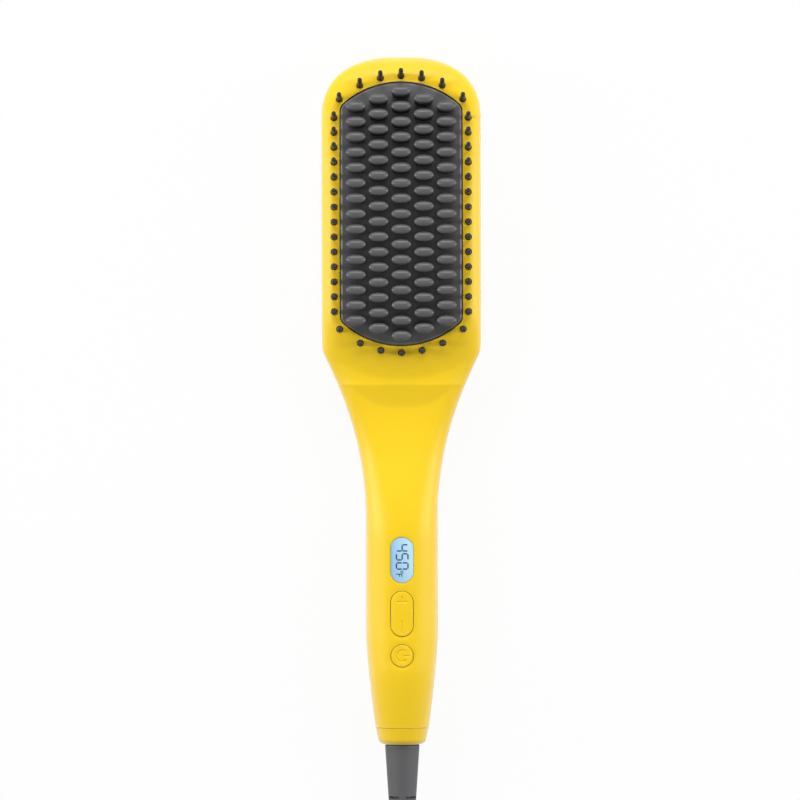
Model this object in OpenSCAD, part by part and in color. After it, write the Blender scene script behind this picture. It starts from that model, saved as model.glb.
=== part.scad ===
// Heated straightening brush with a digital display, lying on its back.
// X runs across the brush, Y along it with the head at +Y, Z up out of the bristles.
// The origin is on the table, under the middle of the brush.

/* [Body] */
// Length of the head, from its tip to where it starts to narrow
head_l = 123.8; // [120:0.2:128]
// Width of the head across its straight sides
head_w = 67; // [66:0.5:72]
// Thickness of the head from its flat back to the crown of its front
head_t = 25; // [24.5:0.5:28]
// Width of the grip
handle_w = 30.2; // [29:0.2:34]
// Height of the grip's front face above the table
grip_t = 28; // [27:0.5:30]
// Length of the neck between the head and the grip
neck_l = 69.5; // [66:0.5:73]
// Length of the grip from the neck to the end of the cap
grip_l = 95.5; // [92:0.5:99]
// Diameter of the tail where the end cap starts
tail_d = 22.4; // [22:0.2:24]
// Height of the cord's axis above the table
tail_z = 13.7; // [13:0.1:14.5]
// Wall of the two shells
wall = 2; // [1.6:0.1:2.2]

/* [Bristles] */
// Width of the rim beside the heated plate
rim_side = 8; // [7.8:0.1:9]
// Width of the rim above the plate, from the tip of the head
rim_tip = 11.1; // [10.8:0.1:12]
// Distance from the plate's round lower end to where the head starts to narrow
rim_foot = 2.2; // [2:0.1:4]
// Columns of teeth on the plate
tooth_columns = 5; // [3:2:5]
// Teeth in the middle column; each column further out has one less
tooth_rows = 17; // [11:1:17]
// Clear space between the columns of teeth
column_gap = 1.3; // [1.2:0.1:3]
// Clear space between the teeth of a column
row_gap = 2.1; // [2:0.1:3]
// Height of a tooth below its tip
stem_h = 5; // [4:0.5:6]
// Height of a tooth's tip
tip_h = 3.5; // [2.5:0.5:4]
// Guard pins along each straight side of the plate
side_pins = 14; // [8:1:14]
// Guard pins round each end of the plate
end_pins = 7; // [3:2:7]
// Height of a guard pin above the rim
pin_h = 10; // [8:0.5:11]
// Radius of a guard pin's base
pin_r = 1.25; // [1:0.05:1.3]

/* [Controls] */
// Width of the display window and of the temperature key's opening
pill_w = 9.9; // [9:0.1:10]
// Length of the display window and of the temperature key's opening
pill_l = 19.5; // [18:0.1:20]
// Diameter of the power button's opening
button_d = 9.9; // [9:0.1:10]
// Gap round the display, the key and the button
key_gap = 0.3; // [0.25:0.05:0.4]
// Distance from the end of the cap to the middle of the display
display_at = 77.6; // [77:0.1:78.5]
// Distance from the end of the cap to the middle of the temperature key
key_at = 55.1; // [55:0.1:55.6]
// Distance from the end of the cap to the middle of the power button
button_at = 37.6; // [37.4:0.1:38]

/* [Cord] */
// Diameter of the cord
cord_d = 6; // [5.6:0.1:6.2]
// Length of the strain relief
relief_l = 41.3; // [38:0.1:42]
// Diameter of the strain relief at the cap
relief_d = 14.5; // [14:0.1:15]

/* [Hidden] */

YELLOW = [0.99, 0.80, 0.05];
CHARCOAL = [0.20, 0.20, 0.21];
DARK_GREY = [0.36, 0.36, 0.37];
NEAR_BLACK = [0.08, 0.08, 0.09];
STEEL = [0.72, 0.73, 0.75];
BRASS = [0.80, 0.62, 0.28];
BOARD_GREEN = [0.05, 0.35, 0.18];
WINDOW_BLUE = [0.62, 0.80, 0.93];
MICA = [0.72, 0.62, 0.45];

// ---- places along the brush ----
body_l = head_l + neck_l + grip_l;
y_tip = body_l / 2;
y_end = -body_l / 2;
cap_l = 7.2;
y_seam = y_end + cap_l;
y_corner = y_tip - head_l;
y_grip = y_corner - neck_l;
taper_l = 40;
y_taper = y_seam + taper_l;

// ---- the body's outline, seen from the front ----
head_end_l = 26.4;
head_end_power = 2.4;
corner_blend = 1;
function round_end(s, power) = s <= 0 ? 1 : s >= 1 ? 0 : pow(1 - pow(s, power), 1 / power);
function soft_min(a, b, k) = (a + b - sqrt((a - b) * (a - b) + k * k)) / 2;
function ease(s) = s <= 0 ? 0 : s >= 1 ? 1 : s * s * (3 - 2 * s);
function mix(a, b, s) = a + (b - a) * s;

function head_half(y, inset) =
    (head_w / 2 - inset)
    * round_end((y - y_tip + head_end_l) / (head_end_l - inset), head_end_power);
function neck_half(y) = handle_w / 2
    + (head_w - handle_w) / 2 * pow(max(0, y - y_grip) / neck_l, 2);
function tail_half(y) = handle_w / 2
    - (handle_w - tail_d) / 2 * pow(max(0, y_taper - y) / taper_l, 1.4);
function half_width(y, inset) =
    y < y_grip ? tail_half(y) - inset
    : soft_min(head_half(y, inset), neck_half(y) - inset, corner_blend);

// ---- the body's profile, seen from the side ----
// The front falls from the plate into a valley, rises to a crease across the neck, falls into
// a shallow rest for the thumb and swells into the grip.
y_crown = y_tip - 0.5606 * head_l;
crown_r = 304;
heel_r = 1400;
deck_foot = 2.4;
valley_drop = 2.9;
crease_rise = 0.2;
rest_drop = 0.9;
y_deck = y_corner + deck_foot;
y_valley = y_corner - 0.17 * neck_l;
y_crease = y_corner - 0.204 * neck_l;
y_rest = y_corner - 0.39 * neck_l;
y_flat = y_end + display_at + 7.4;
nose_l = 11;
nose_power = 2.2;
front_taper_l = 25;
y_front_taper = y_seam + front_taper_l;
sole = 0.5;
arch_h = 3.5;
y_arch_start = y_corner - 0.1 * neck_l;
y_arch = y_corner - 0.806 * neck_l;
heel_at = 52;
heel_l = 16;
y_heel = y_end + heel_at;
y_heel_end = y_heel - heel_l;

function crown_z(y) =
    let (r = y > y_crown ? crown_r : heel_r)
    head_t - (y - y_crown) * (y - y_crown) / (2 * r);
valley_z = crown_z(y_deck) - valley_drop;
crease_z = valley_z + crease_rise;
rest_z = crease_z - rest_drop;
function between(y, y0, y1) = (y0 - y) / (y0 - y1);
function front_z(y) =
    y > y_deck ? crown_z(y)
    : y > y_valley ? mix(crown_z(y_deck), valley_z, ease(between(y, y_deck, y_valley)))
    : y > y_crease ? mix(valley_z, crease_z, pow(between(y, y_valley, y_crease), 2))
    : y > y_rest ? mix(rest_z, crease_z, pow(1 - between(y, y_crease, y_rest), 2))
    : y > y_flat ? mix(rest_z, grip_t, ease(between(y, y_rest, y_flat)))
    : y > y_front_taper ? grip_t
    : mix(grip_t, tail_z + tail_d / 2, pow(between(y, y_front_taper, y_seam), 1.4));
function back_z(y) =
    y > y_arch_start ? -sole
    : y > y_arch ? mix(-sole, arch_h, ease(between(y, y_arch_start, y_arch)))
    : y > y_heel ? mix(arch_h, -sole, ease(between(y, y_arch, y_heel)))
    : y > y_heel_end ? -sole
    : mix(-sole, tail_z - tail_d / 2, ease(between(y, y_heel_end, y_seam)));
function lean(y) = y > y_crown ? asin((y - y_crown) / crown_r) : -asin((y_crown - y) / heel_r);

// ---- cross sections: squarer in the head, round at the tail ----
head_power = 4.5;
grip_power = 2.3;
function squareness(y) = y > y_grip
    ? mix(grip_power, head_power, ease((y - y_grip) / (y_corner + 5 - y_grip)))
    : mix(2, grip_power, ease((y - y_seam) / (y_front_taper - y_seam)));
function nose(y, inset) = round_end((y - y_tip + nose_l) / (nose_l - inset), nose_power);
function mid_z(y) = (front_z(y) + back_z(y)) / 2;
function half_height(y, inset) = ((front_z(y) - back_z(y)) / 2 - inset) * nose(y, inset);
function surface_z(x, y, inset) = mid_z(y) + half_height(y, inset)
    * round_end(abs(x) / half_width(y, inset), squareness(y));

outer_points = 32;
hidden_points = 20;
function signed_pow(v, p) = sign(v) * pow(abs(v), p);
function section(y, inset) = [
    let (n = inset > 0 ? hidden_points : outer_points, p = 2 / squareness(y))
    for (i = [0 : n - 1])
        let (a = 360 * i / n)
        [half_width(y, inset) * signed_pow(cos(a), p),
         mid_z(y) + half_height(y, inset) * signed_pow(sin(a), p)]
];

// Stations run close together where the shape turns, and wide apart where it is straight.
nose_stations = 7;
head_stations = 8;
deck_stations = 4;
rest_stations = 3;
neck_stations = 9;
grip_stations = 4;
tail_stations = 6;
function stations(inset) = concat(
    [for (i = [0 : nose_stations]) y_tip - inset - 0.06
        - (head_end_l - inset) * pow(i / nose_stations, 2)],
    [for (i = [1 : head_stations]) mix(y_tip - head_end_l, y_deck, i / head_stations)],
    [for (i = [1 : deck_stations]) mix(y_deck, y_valley, i / deck_stations)],
    [for (i = [0 : rest_stations]) mix(y_crease, y_rest, i / rest_stations)],
    [for (i = [1 : neck_stations]) mix(y_rest, y_flat, i / neck_stations)],
    [for (i = [1 : grip_stations]) mix(y_flat, y_front_taper, i / grip_stations)],
    [for (i = [1 : tail_stations]) mix(y_front_taper, y_seam, i / tail_stations)]
);

function section_at(y, inset) = [for (p = section(y, inset)) [p[0], y, p[1]]];
module segment(y0, y1, inset) {
    points = concat(section_at(y0, inset), section_at(y1, inset));
    hull() polyhedron(points, [[for (i = [0 : len(points) - 1]) i]]);
}
// Hidden surfaces make do with every second station
module body_solid(inset) {
    all = stations(inset);
    last = len(all) - 1;
    ys = [for (i = [0 : last]) if (inset == 0 || i % 2 == 0 || i == last) all[i]];
    for (i = [0 : len(ys) - 2]) segment(ys[i], ys[i + 1], inset);
}

// ---- the seam between the two shells ----
split_z = 12.5;
big = 400;
module above(z) {
    translate([-big / 2, -big / 2, z]) cube([big, big, big]);
}
module before_cap() {
    translate([-big / 2, y_seam, -big / 2]) cube([big, big, big]);
}

// ---- the heated plate's outline ----
plate_w = head_w - 2 * rim_side;
plate_l = head_l - rim_tip - rim_foot;
plate_top = y_tip - rim_tip;
plate_bottom = plate_top - plate_l;
plate_mid = (plate_top + plate_bottom) / 2;
plate_rise = 0.206 * plate_w;
plate_corner_r = 2.5;
plate_end_r = (plate_w * plate_w / 4 + plate_rise * plate_rise) / (2 * plate_rise);
corner_x = plate_w / 2 - plate_corner_r;
corner_reach = plate_end_r - plate_corner_r;
corner_angle = acos(corner_x / corner_reach);
end_centre = plate_l / 2 - plate_end_r;
corner_y = end_centre + corner_reach * sin(corner_angle);
function arc(c, r, a0, a1, n) = [
    for (i = [0 : n]) let (a = mix(a0, a1, i / n)) [c[0] + r * cos(a), c[1] + r * sin(a)]
];
function half_outline(grow) = concat(
    arc([corner_x, corner_y], plate_corner_r + grow, 0, corner_angle, 3),
    arc([0, end_centre], plate_end_r + grow, corner_angle + 4, 176 - corner_angle, 10),
    arc([-corner_x, corner_y], plate_corner_r + grow, 180 - corner_angle, 180, 3)
);
function plate_outline(grow) = concat(
    half_outline(grow),
    [for (p = half_outline(grow)) [-p[0], -p[1]]]
);
module plate_shape(grow) {
    translate([0, plate_mid]) polygon(plate_outline(grow));
}
module plate_ring(z0, z1, inner, outer) {
    translate([0, 0, z0])
        linear_extrude(z1 - z0)
            difference() {
                plate_shape(outer);
                plate_shape(inner);
            }
}

// ---- heights inside the head ----
plate_drop = 1.5;
plate_wall = 2.5;
skirt_wall = 2.2;
frame_z = 13.2;
frame_t = 2;
skirt_z = frame_z + frame_t;
flange_w = 1;
flange_t = 1;
seal_t = 1;
opening_gap = 0.4;
lip_w = 0.8;
lip_z = skirt_z + flange_t + seal_t;
frame_out = 5;
frame_in = -2;

// ---- guard pins ----
pin_offset = 2.6;
pin_hole_gap = 0.25;
pin_path_r = plate_end_r + pin_offset;
function end_pin_y(x) = end_centre + sqrt(pin_path_r * pin_path_r - x * x);
side_pin_pitch = (2 * corner_y - 5.1) / (side_pins - 1);
end_pin_pitch = (plate_w + 0.7) / (end_pins - 1);
side_pin_mid = plate_mid + 0.1;
pin_places = concat(
    [for (side = [-1, 1], i = [0 : side_pins - 1])
        [side * (plate_w / 2 + pin_offset),
         side_pin_mid + (i - (side_pins - 1) / 2) * side_pin_pitch]],
    [for (end = [-1, 1], i = [0 : end_pins - 1])
        let (x = (i - (end_pins - 1) / 2) * end_pin_pitch)
        [x, plate_mid + end * end_pin_y(x)]]
);
module at_pins() {
    for (p = pin_places)
        translate([p[0], p[1], surface_z(p[0], p[1], 0)])
            rotate([-lean(p[1]), 0, 0])
                children();
}

// ---- screws and their bosses ----
frame_screw_x = plate_w / 2 + 2.3;
frame_screw_y = corner_y + 1.2;
frame_screw_places = [
    for (sx = [-1, 1], sy = [-1, 1]) [sx * frame_screw_x, plate_mid + sy * frame_screw_y]
];
frame_boss_r = 1.8;
frame_screw_r = 0.8;
shell_screw_x = head_w / 2 - 16.5;
y_neck_screw = y_corner - 0.613 * neck_l;
shell_screw_places = [
    [-shell_screw_x, y_corner - 10.6], [shell_screw_x, y_corner - 10.6],
    [0, y_neck_screw], [0, y_seam + 11.2]
];
shell_boss_r = 3;
shell_screw_r = 1.2;
shell_head_r = 2.3;
shell_head_seat = 5.2;
shell_head_h = 1.6;
// Pilot holes are eight-sided, so that a screw cuts its thread in their flats
pilot_gap = 0.1;
pilot_sides = 8;
function pilot_r(screw_r) = (screw_r + pilot_gap) / cos(180 / pilot_sides);
shield_post_x = plate_w / 2 - 5.5;
shield_post_y = plate_l / 2 - 21.25;
shield_post_places = [
    for (x = [-shield_post_x, shield_post_x], y = [-shield_post_y, shield_post_y])
        [x, plate_mid + y]
];
shield_z = 8;
shield_t = 0.6;
shield_post_r = 2;
shield_screw_r = 1;
power_board_z = 7.6;
board_t = 1.6;
power_w = 18;
power_y0 = y_seam + 27.3;
power_y1 = y_grip + 17;
power_post_x = power_w / 2 - 2.5;
power_post_places = [
    for (x = [-power_post_x, power_post_x], y = [power_y1 - 4.3, power_y0 + 3.7]) [x, y]
];
board_post_r = 2.2;
board_screw_r = 1;
control_board_z = 20;
y_control_post = y_end + display_at + 13.6;
control_post_places = [[0, y_control_post], [0, y_seam + 18.7]];
screw_head_h = 1.2;
screw_head_r = 2;

// A screw with its head's seat at the origin and its shank along +Z
module screw(shank_r, shank_l, head_r, head_h) {
    cylinder(r = shank_r, h = shank_l, $fn = 24);
    difference() {
        translate([0, 0, -head_h]) cylinder(r = head_r, h = head_h, $fn = 32);
        for (a = [0, 90])
            rotate([0, 0, a])
                translate([-head_r * 0.6, -head_r * 0.12, -head_h - 0.1])
                    cube([head_r * 1.2, head_r * 0.24, head_h * 0.5]);
    }
}
module screw_down(shank_r, shank_l, head_r, head_h) {
    mirror([0, 0, 1]) screw(shank_r, shank_l, head_r, head_h);
}

// ---- controls on the grip ----
display_y = y_end + display_at;
key_y = y_end + key_at;
button_y = y_end + button_at;
module pill(w, l) {
    square([w, l - w], center = true);
    for (s = [-1, 1])
        translate([0, s * (l - w) / 2]) circle(d = w, $fn = 48);
}

module front_shell() {
    color(YELLOW)
    difference() {
        intersection() {
            union() {
                difference() {
                    body_solid(0);
                    body_solid(wall);
                    front_cavity_end();
                }
                intersection() {
                    body_solid(wall / 2);
                    union() {
                        translate([0, 0, lip_z])
                            linear_extrude(head_t) plate_shape(opening_gap + lip_w);
                        for (p = frame_screw_places)
                            translate([p[0], p[1], skirt_z])
                                cylinder(r = frame_boss_r, h = head_t, $fn = 12);
                        for (p = shell_screw_places)
                            translate([p[0], p[1], split_z])
                                cylinder(r = shell_boss_r, h = grip_t, $fn = 12);
                        for (p = control_post_places)
                            translate([p[0], p[1], control_board_z + board_t])
                                cylinder(r = board_post_r, h = grip_t, $fn = 12);
                    }
                }
            }
            above(split_z);
            before_cap();
        }
        translate([0, 0, lip_z - 1]) linear_extrude(head_t) plate_shape(opening_gap);
        translate([0, 0, split_z]) linear_extrude(lip_z - split_z) plate_shape(flange_w + 0.1);
        at_pins()
            translate([0, 0, -11]) cylinder(r = pin_r + pin_hole_gap, h = 13, $fn = 8);
        translate([0, display_y, grip_t - 5]) linear_extrude(6) pill(pill_w, pill_l);
        translate([0, key_y, grip_t - 5]) linear_extrude(6) pill(pill_w, pill_l);
        translate([0, button_y, grip_t - 5]) cylinder(d = button_d, h = 6, $fn = 48);
        for (p = frame_screw_places)
            translate([p[0], p[1], skirt_z - 1])
                cylinder(r = pilot_r(frame_screw_r), h = 4, $fn = pilot_sides);
        for (p = shell_screw_places)
            translate([p[0], p[1], split_z - 1])
                cylinder(r = pilot_r(shell_screw_r), h = 7, $fn = pilot_sides);
        for (p = control_post_places)
            translate([p[0], p[1], control_board_z])
                cylinder(r = pilot_r(board_screw_r), h = 4.5, $fn = pilot_sides);
    }
}
// Opens the hollow through the tail, where the cap closes it
module front_cavity_end() {
    translate([0, y_seam, tail_z])
        rotate([90, 0, 0])
            cylinder(r = tail_d / 2 - wall, h = 2, center = true, $fn = hidden_points);
}

module rear_shell() {
    color(YELLOW)
    difference() {
        intersection() {
            union() {
                difference() {
                    body_solid(0);
                    body_solid(wall);
                    front_cavity_end();
                }
                intersection() {
                    body_solid(wall / 2);
                    union() {
                        for (p = shell_screw_places)
                            translate([p[0], p[1], 0])
                                cylinder(r = shell_boss_r, h = split_z, $fn = 12);
                        for (p = shield_post_places)
                            translate([p[0], p[1], 0])
                                cylinder(r = shield_post_r, h = shield_z, $fn = 12);
                        for (p = power_post_places)
                            translate([p[0], p[1], 0])
                                cylinder(r = board_post_r, h = power_board_z, $fn = 12);
                    }
                }
            }
            before_cap();
            translate([-big / 2, -big / 2, 0]) cube([big, big, split_z]);
        }
        for (p = shell_screw_places) {
            translate([p[0], p[1], -1])
                cylinder(r = shell_head_r + 0.2, h = shell_head_seat + 1, $fn = 16);
            translate([p[0], p[1], 0])
                cylinder(r = shell_screw_r + 0.15, h = split_z + 1, $fn = 8);
        }
        for (p = shield_post_places)
            translate([p[0], p[1], wall + 1])
                cylinder(r = pilot_r(shield_screw_r), h = shield_z, $fn = pilot_sides);
        for (p = power_post_places)
            translate([p[0], p[1], wall + 2.2])
                cylinder(r = pilot_r(board_screw_r), h = power_board_z, $fn = pilot_sides);
    }
}

// ---- the tail: end cap, swivel and strain relief turn on one axis ----
seam_gap = 0.15;
cap_end_r = 10.3;
cap_wall_l = 3;
swivel_bore_r = 6;
swivel_gap = 0.05;
spigot_r = tail_d / 2 - wall - 0.3;
spigot_wall = 1.1;
spigot_l = 2;
relief_gap = 0.3;
module on_cord_axis() {
    translate([0, y_end, tail_z]) rotate([-90, 0, 0]) children();
}
module end_cap() {
    round_r = 1.4;
    color(YELLOW)
    on_cord_axis()
        rotate_extrude($fn = 96)
            polygon(concat(
                [[swivel_bore_r, 0], [cap_end_r - round_r, 0]],
                arc([cap_end_r - round_r, round_r], round_r, -72, 0, 4),
                [[tail_d / 2, cap_l - seam_gap],
                 [spigot_r, cap_l - seam_gap],
                 [spigot_r, cap_l + spigot_l],
                 [spigot_r - spigot_wall, cap_l + spigot_l],
                 [spigot_r - spigot_wall, cap_wall_l],
                 [swivel_bore_r, cap_wall_l]]
            ));
}
hub_r = 3.6;
ring_r = 4.4;
ring_w = 1.4;
ring_places = [cap_l + 3.3, cap_l + 5.6];
hub_l = cap_l + 6.9;
collar_flange_r = 7.4;
collar_flange_t = 1.6;
collar_gap = 0.1;
module swivel_collar() {
    color(NEAR_BLACK)
    on_cord_axis()
        rotate_extrude($fn = 96)
            polygon([
                [0, 0], [swivel_bore_r - swivel_gap, 0],
                [swivel_bore_r - swivel_gap, cap_wall_l + collar_gap],
                [collar_flange_r, cap_wall_l + collar_gap],
                [collar_flange_r, cap_wall_l + collar_gap + collar_flange_t],
                [hub_r, cap_wall_l + collar_gap + collar_flange_t],
                [hub_r, hub_l], [0, hub_l]
            ]);
}
module slip_rings() {
    color(BRASS)
    on_cord_axis()
        for (y = ring_places)
            translate([0, 0, y - ring_w / 2])
                difference() {
                    cylinder(r = ring_r, h = ring_w, $fn = 96);
                    translate([0, 0, -1]) cylinder(r = hub_r, h = ring_w + 2, $fn = 96);
                }
}
block_w = 8;
block_z = 5.3;
block_h = 2.7;
block_y0 = y_seam + 2.6;
block_l = 4.2;
module contact_block() {
    color(NEAR_BLACK)
        translate([-block_w / 2, block_y0, block_z]) cube([block_w, block_l, block_h]);
}
module slip_contacts() {
    leaf_gap = 0.08;
    color(BRASS)
    for (y = ring_places)
        translate([-1.5, y_end + y - ring_w / 2 + 0.1, block_z + block_h])
            cube([3, ring_w - 0.2, tail_z - ring_r - leaf_gap - block_z - block_h]);
}

relief_end_d = 9.2;
relief_slot_rows = 5;
relief_first_slot = 21.9;
relief_slot_pitch = 4.1;
relief_slot_w = 0.9;
relief_core_r = cord_d / 2 + 0.9;
relief_bridge = 2.9;
function relief_r(s) = mix(relief_d / 2, relief_end_d / 2, s / relief_l);
module strain_relief() {
    round_r = 0.8;
    color(DARK_GREY)
    translate([0, y_end - relief_gap, tail_z])
        rotate([90, 0, 0])
            difference() {
                rotate_extrude($fn = 96)
                    polygon(concat(
                        [[0, -relief_gap], [swivel_bore_r - swivel_gap, -relief_gap],
                         [swivel_bore_r - swivel_gap, 0], [relief_d / 2, 0]],
                        arc([relief_end_d / 2 - round_r, relief_l - round_r], round_r, 0, 90, 4),
                        [[0, relief_l]]
                    ));
                for (i = [0 : relief_slot_rows - 1])
                    relief_slots(relief_first_slot + i * relief_slot_pitch, 45 * (i % 2));
            }
}
module relief_slots(s, turn) {
    translate([0, 0, s - relief_slot_w / 2])
        rotate([0, 0, turn])
            difference() {
                cylinder(r = relief_d, h = relief_slot_w, $fn = 48);
                translate([0, 0, -1])
                    cylinder(r = relief_core_r, h = relief_slot_w + 2, $fn = 48);
                for (a = [0, 90])
                    rotate([0, 0, a])
                        cube([relief_bridge, 3 * relief_d, 3], center = true);
            }
}

// ---- the heated plate and its teeth ----
module under_crown(drop) {
    translate([0, y_crown, head_t - crown_r])
        intersection() {
            rotate([0, 90, 0]) cylinder(r = crown_r - drop, h = head_w, center = true, $fn = 720);
            translate([-head_w, 0, 0]) cube([2 * head_w, crown_r, 2 * crown_r]);
        }
    translate([0, y_crown, head_t - heel_r])
        intersection() {
            rotate([0, 90, 0]) cylinder(r = heel_r - drop, h = head_w, center = true, $fn = 1440);
            translate([-head_w, -crown_r, 0]) cube([2 * head_w, crown_r, 2 * heel_r]);
        }
}
pad_x = plate_w / 2 - 7.5;
pad_y = plate_l / 2 - 20.25;
pad_z = skirt_z + 2;
element_w = 2 * pad_x - 14;
element_t = 1.6;
clamp_t = 1.2;
clamp_screw_places = [
    for (x = [3 - pad_x, pad_x - 3], y = [4 - pad_y, pad_y - 4]) [x, plate_mid + y]
];
clamp_screw_r = 1.25;
function plate_z(y) = crown_z(y) - plate_drop;
tooth_edge_x = 6.3;
tooth_edge_y = 5;
column_pitch = (plate_w - 2 * tooth_edge_x) / (tooth_columns - 1);
row_pitch = (plate_l - 2 * tooth_edge_y) / (tooth_rows - 1);
tip_w = column_pitch - column_gap;
tip_d = row_pitch - row_gap;
function tooth_places() = [
    for (c = [-(tooth_columns - 1) / 2 : (tooth_columns - 1) / 2],
         i = [0 : tooth_rows - abs(c) - 1])
    [c * column_pitch, plate_mid - 0.75 + (i - (tooth_rows - abs(c) - 1) / 2) * row_pitch]
];
oval_points = 16;
function oval(w, d) = [
    for (i = [0 : oval_points - 1])
        let (a = 360 * i / oval_points)
        [w / 2 * cos(a), d / 2 * sin(a)]
];
stem_w = tip_w - 1;
stem_d = tip_d - 0.8;
stem_root = 1;
module at_teeth() {
    for (p = tooth_places())
        translate([p[0], p[1], plate_z(p[1])])
            rotate([-lean(p[1]), 0, 0])
                children();
}
module heated_plate() {
    color(CHARCOAL)
    difference() {
        union() {
            intersection() {
                translate([0, 0, skirt_z]) linear_extrude(head_t) plate_shape(0);
                under_crown(plate_drop);
            }
            plate_ring(skirt_z, skirt_z + flange_t, -skirt_wall, flange_w);
            at_teeth()
                translate([0, 0, -stem_root]) linear_extrude(stem_h + stem_root)
                    polygon(oval(stem_w, stem_d));
        }
        difference() {
            intersection() {
                translate([0, 0, skirt_z - 1]) linear_extrude(head_t) plate_shape(-skirt_wall);
                under_crown(plate_drop + plate_wall);
            }
            translate([-pad_x, plate_mid - pad_y, pad_z])
                cube([2 * pad_x, 2 * pad_y, head_t]);
        }
        for (p = clamp_screw_places)
            translate([p[0], p[1], pad_z - 1])
                cylinder(r = clamp_screw_r + pilot_gap, h = 3.4, $fn = 24);
    }
}
// A tip is an oval block, rounded over along both of its directions
tip_round_d = 2.9;
tip_round_w = 8.5;
module bristle_tips() {
    color(DARK_GREY)
    at_teeth()
        translate([0, 0, stem_h])
            intersection() {
                linear_extrude(tip_h) polygon(oval(tip_w, tip_d));
                translate([0, 0, tip_h - tip_round_d])
                    rotate([0, 90, 0])
                        cylinder(r = tip_round_d, h = 2 * tip_w, center = true, $fn = 64);
                translate([0, 0, tip_h - tip_round_w])
                    rotate([90, 0, 0])
                        cylinder(r = tip_round_w, h = 2 * tip_w, center = true, $fn = 96);
            }
}
module plate_seal() {
    color(NEAR_BLACK)
        plate_ring(skirt_z + flange_t, lip_z, 0.05, flange_w);
}

// ---- the frame under the rim, with the guard pins on it ----
pin_tip_r = 0.8;
pin_neck_z = 0.8;
pin_taper = 1.6;
pin_foot_z = frame_z + frame_t / 2;
// A pin in its own axes: its foot in the frame, a shoulder, a thinner shaft and a round tip
module guard_pin(root) {
    shaft_z = pin_neck_z + pin_taper;
    rotate_extrude($fn = 24)
        polygon(concat(
            [[0, -root], [pin_r, -root], [pin_r, pin_neck_z], [pin_tip_r, shaft_z]],
            arc([0, pin_h - pin_tip_r], pin_tip_r, 0, 90, 4)
        ));
}
module guard_pin_frame() {
    color(CHARCOAL)
    difference() {
        union() {
            plate_ring(frame_z, skirt_z, frame_in, frame_out);
            for (p = pin_places) {
                top = surface_z(p[0], p[1], 0);
                translate([p[0], p[1], top])
                    rotate([-lean(p[1]), 0, 0])
                        guard_pin((top - pin_foot_z) / cos(lean(p[1])));
            }
        }
        for (p = frame_screw_places)
            translate([p[0], p[1], frame_z - 1])
                cylinder(r = frame_screw_r + 0.15, h = frame_t + 2, $fn = 24);
    }
}
module frame_screws() {
    color(STEEL)
    for (p = frame_screw_places)
        translate([p[0], p[1], frame_z]) screw(frame_screw_r, frame_t + 2.6, 1.5, 1);
}

// ---- the heater under the plate ----
module heater_element() {
    color(MICA)
        translate([-element_w / 2, plate_mid - pad_y + 2, pad_z - element_t])
            cube([element_w, 2 * pad_y - 4, element_t]);
}
clamp_z = pad_z - element_t - clamp_t;
module heater_clamp() {
    color(STEEL)
    difference() {
        translate([-pad_x, plate_mid - pad_y, clamp_z]) cube([2 * pad_x, 2 * pad_y, clamp_t]);
        for (p = clamp_screw_places)
            translate([p[0], p[1], clamp_z - 1])
                cylinder(r = clamp_screw_r + 0.2, h = clamp_t + 2, $fn = 24);
    }
}
module clamp_screws() {
    color(STEEL)
    for (p = clamp_screw_places)
        translate([p[0], p[1], clamp_z])
            screw(clamp_screw_r, clamp_t + element_t + 2, screw_head_r + 0.3, screw_head_h);
}
fuse_r = 1.3;
fuse_l = 9;
fuse_y = plate_mid + 12;
module thermal_fuse() {
    color(STEEL)
        translate([0, fuse_y, clamp_z - fuse_r - 0.05])
            rotate([0, 90, 0]) cylinder(r = fuse_r, h = fuse_l, center = true, $fn = 32);
}
thermistor_l = 5;
thermistor_w = 2.4;
thermistor_y = plate_mid - 10;
module thermistor() {
    color(BRASS)
        translate([-thermistor_w / 2, thermistor_y - thermistor_l / 2, clamp_z - thermistor_w])
            cube([thermistor_w, thermistor_l, thermistor_w]);
}
module heat_shield() {
    half_w = shield_post_x + 3;
    half_l = shield_post_y + 4;
    color(STEEL)
    difference() {
        translate([-half_w, plate_mid - half_l, shield_z])
            cube([2 * half_w, 2 * half_l, shield_t]);
        for (p = shield_post_places)
            translate([p[0], p[1], shield_z - 1])
                cylinder(r = shield_screw_r + 0.2, h = shield_t + 2, $fn = 24);
    }
}
module shield_screws() {
    color(STEEL)
    for (p = shield_post_places)
        translate([p[0], p[1], shield_z + shield_t])
            screw_down(shield_screw_r, shield_t + 4, screw_head_r, screw_head_h);
}
module shell_screws() {
    color(STEEL)
    for (p = shell_screw_places)
        translate([p[0], p[1], shell_head_seat])
            screw(shell_screw_r, split_z - shell_head_seat + 5.5, shell_head_r, shell_head_h);
}

// ---- display ----
lens_flange = 0.8;
lens_z = 24.2;
lens_flange_t = 0.8;
lens_top = grip_t - 0.35;
module display_lens() {
    color(WINDOW_BLUE)
    translate([0, display_y, 0]) {
        translate([0, 0, lens_z])
            linear_extrude(lens_top - lens_z) pill(pill_w - 2 * key_gap, pill_l - 2 * key_gap);
        translate([0, 0, lens_z])
            linear_extrude(lens_flange_t) pill(pill_w + 2 * lens_flange, pill_l + 2 * lens_flange);
    }
}
board_top = control_board_z + board_t;
backlight_t = 0.6;
module lcd_panel() {
    color([0.55, 0.68, 0.70])
        translate([-pill_w / 2, display_y - pill_l / 2, board_top + backlight_t])
            cube([pill_w, pill_l, lens_z - board_top - backlight_t]);
}
module backlight() {
    color([0.9, 0.95, 1])
        translate([-pill_w / 2, display_y - pill_l / 2, board_top])
            cube([pill_w, pill_l, backlight_t]);
}

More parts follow.
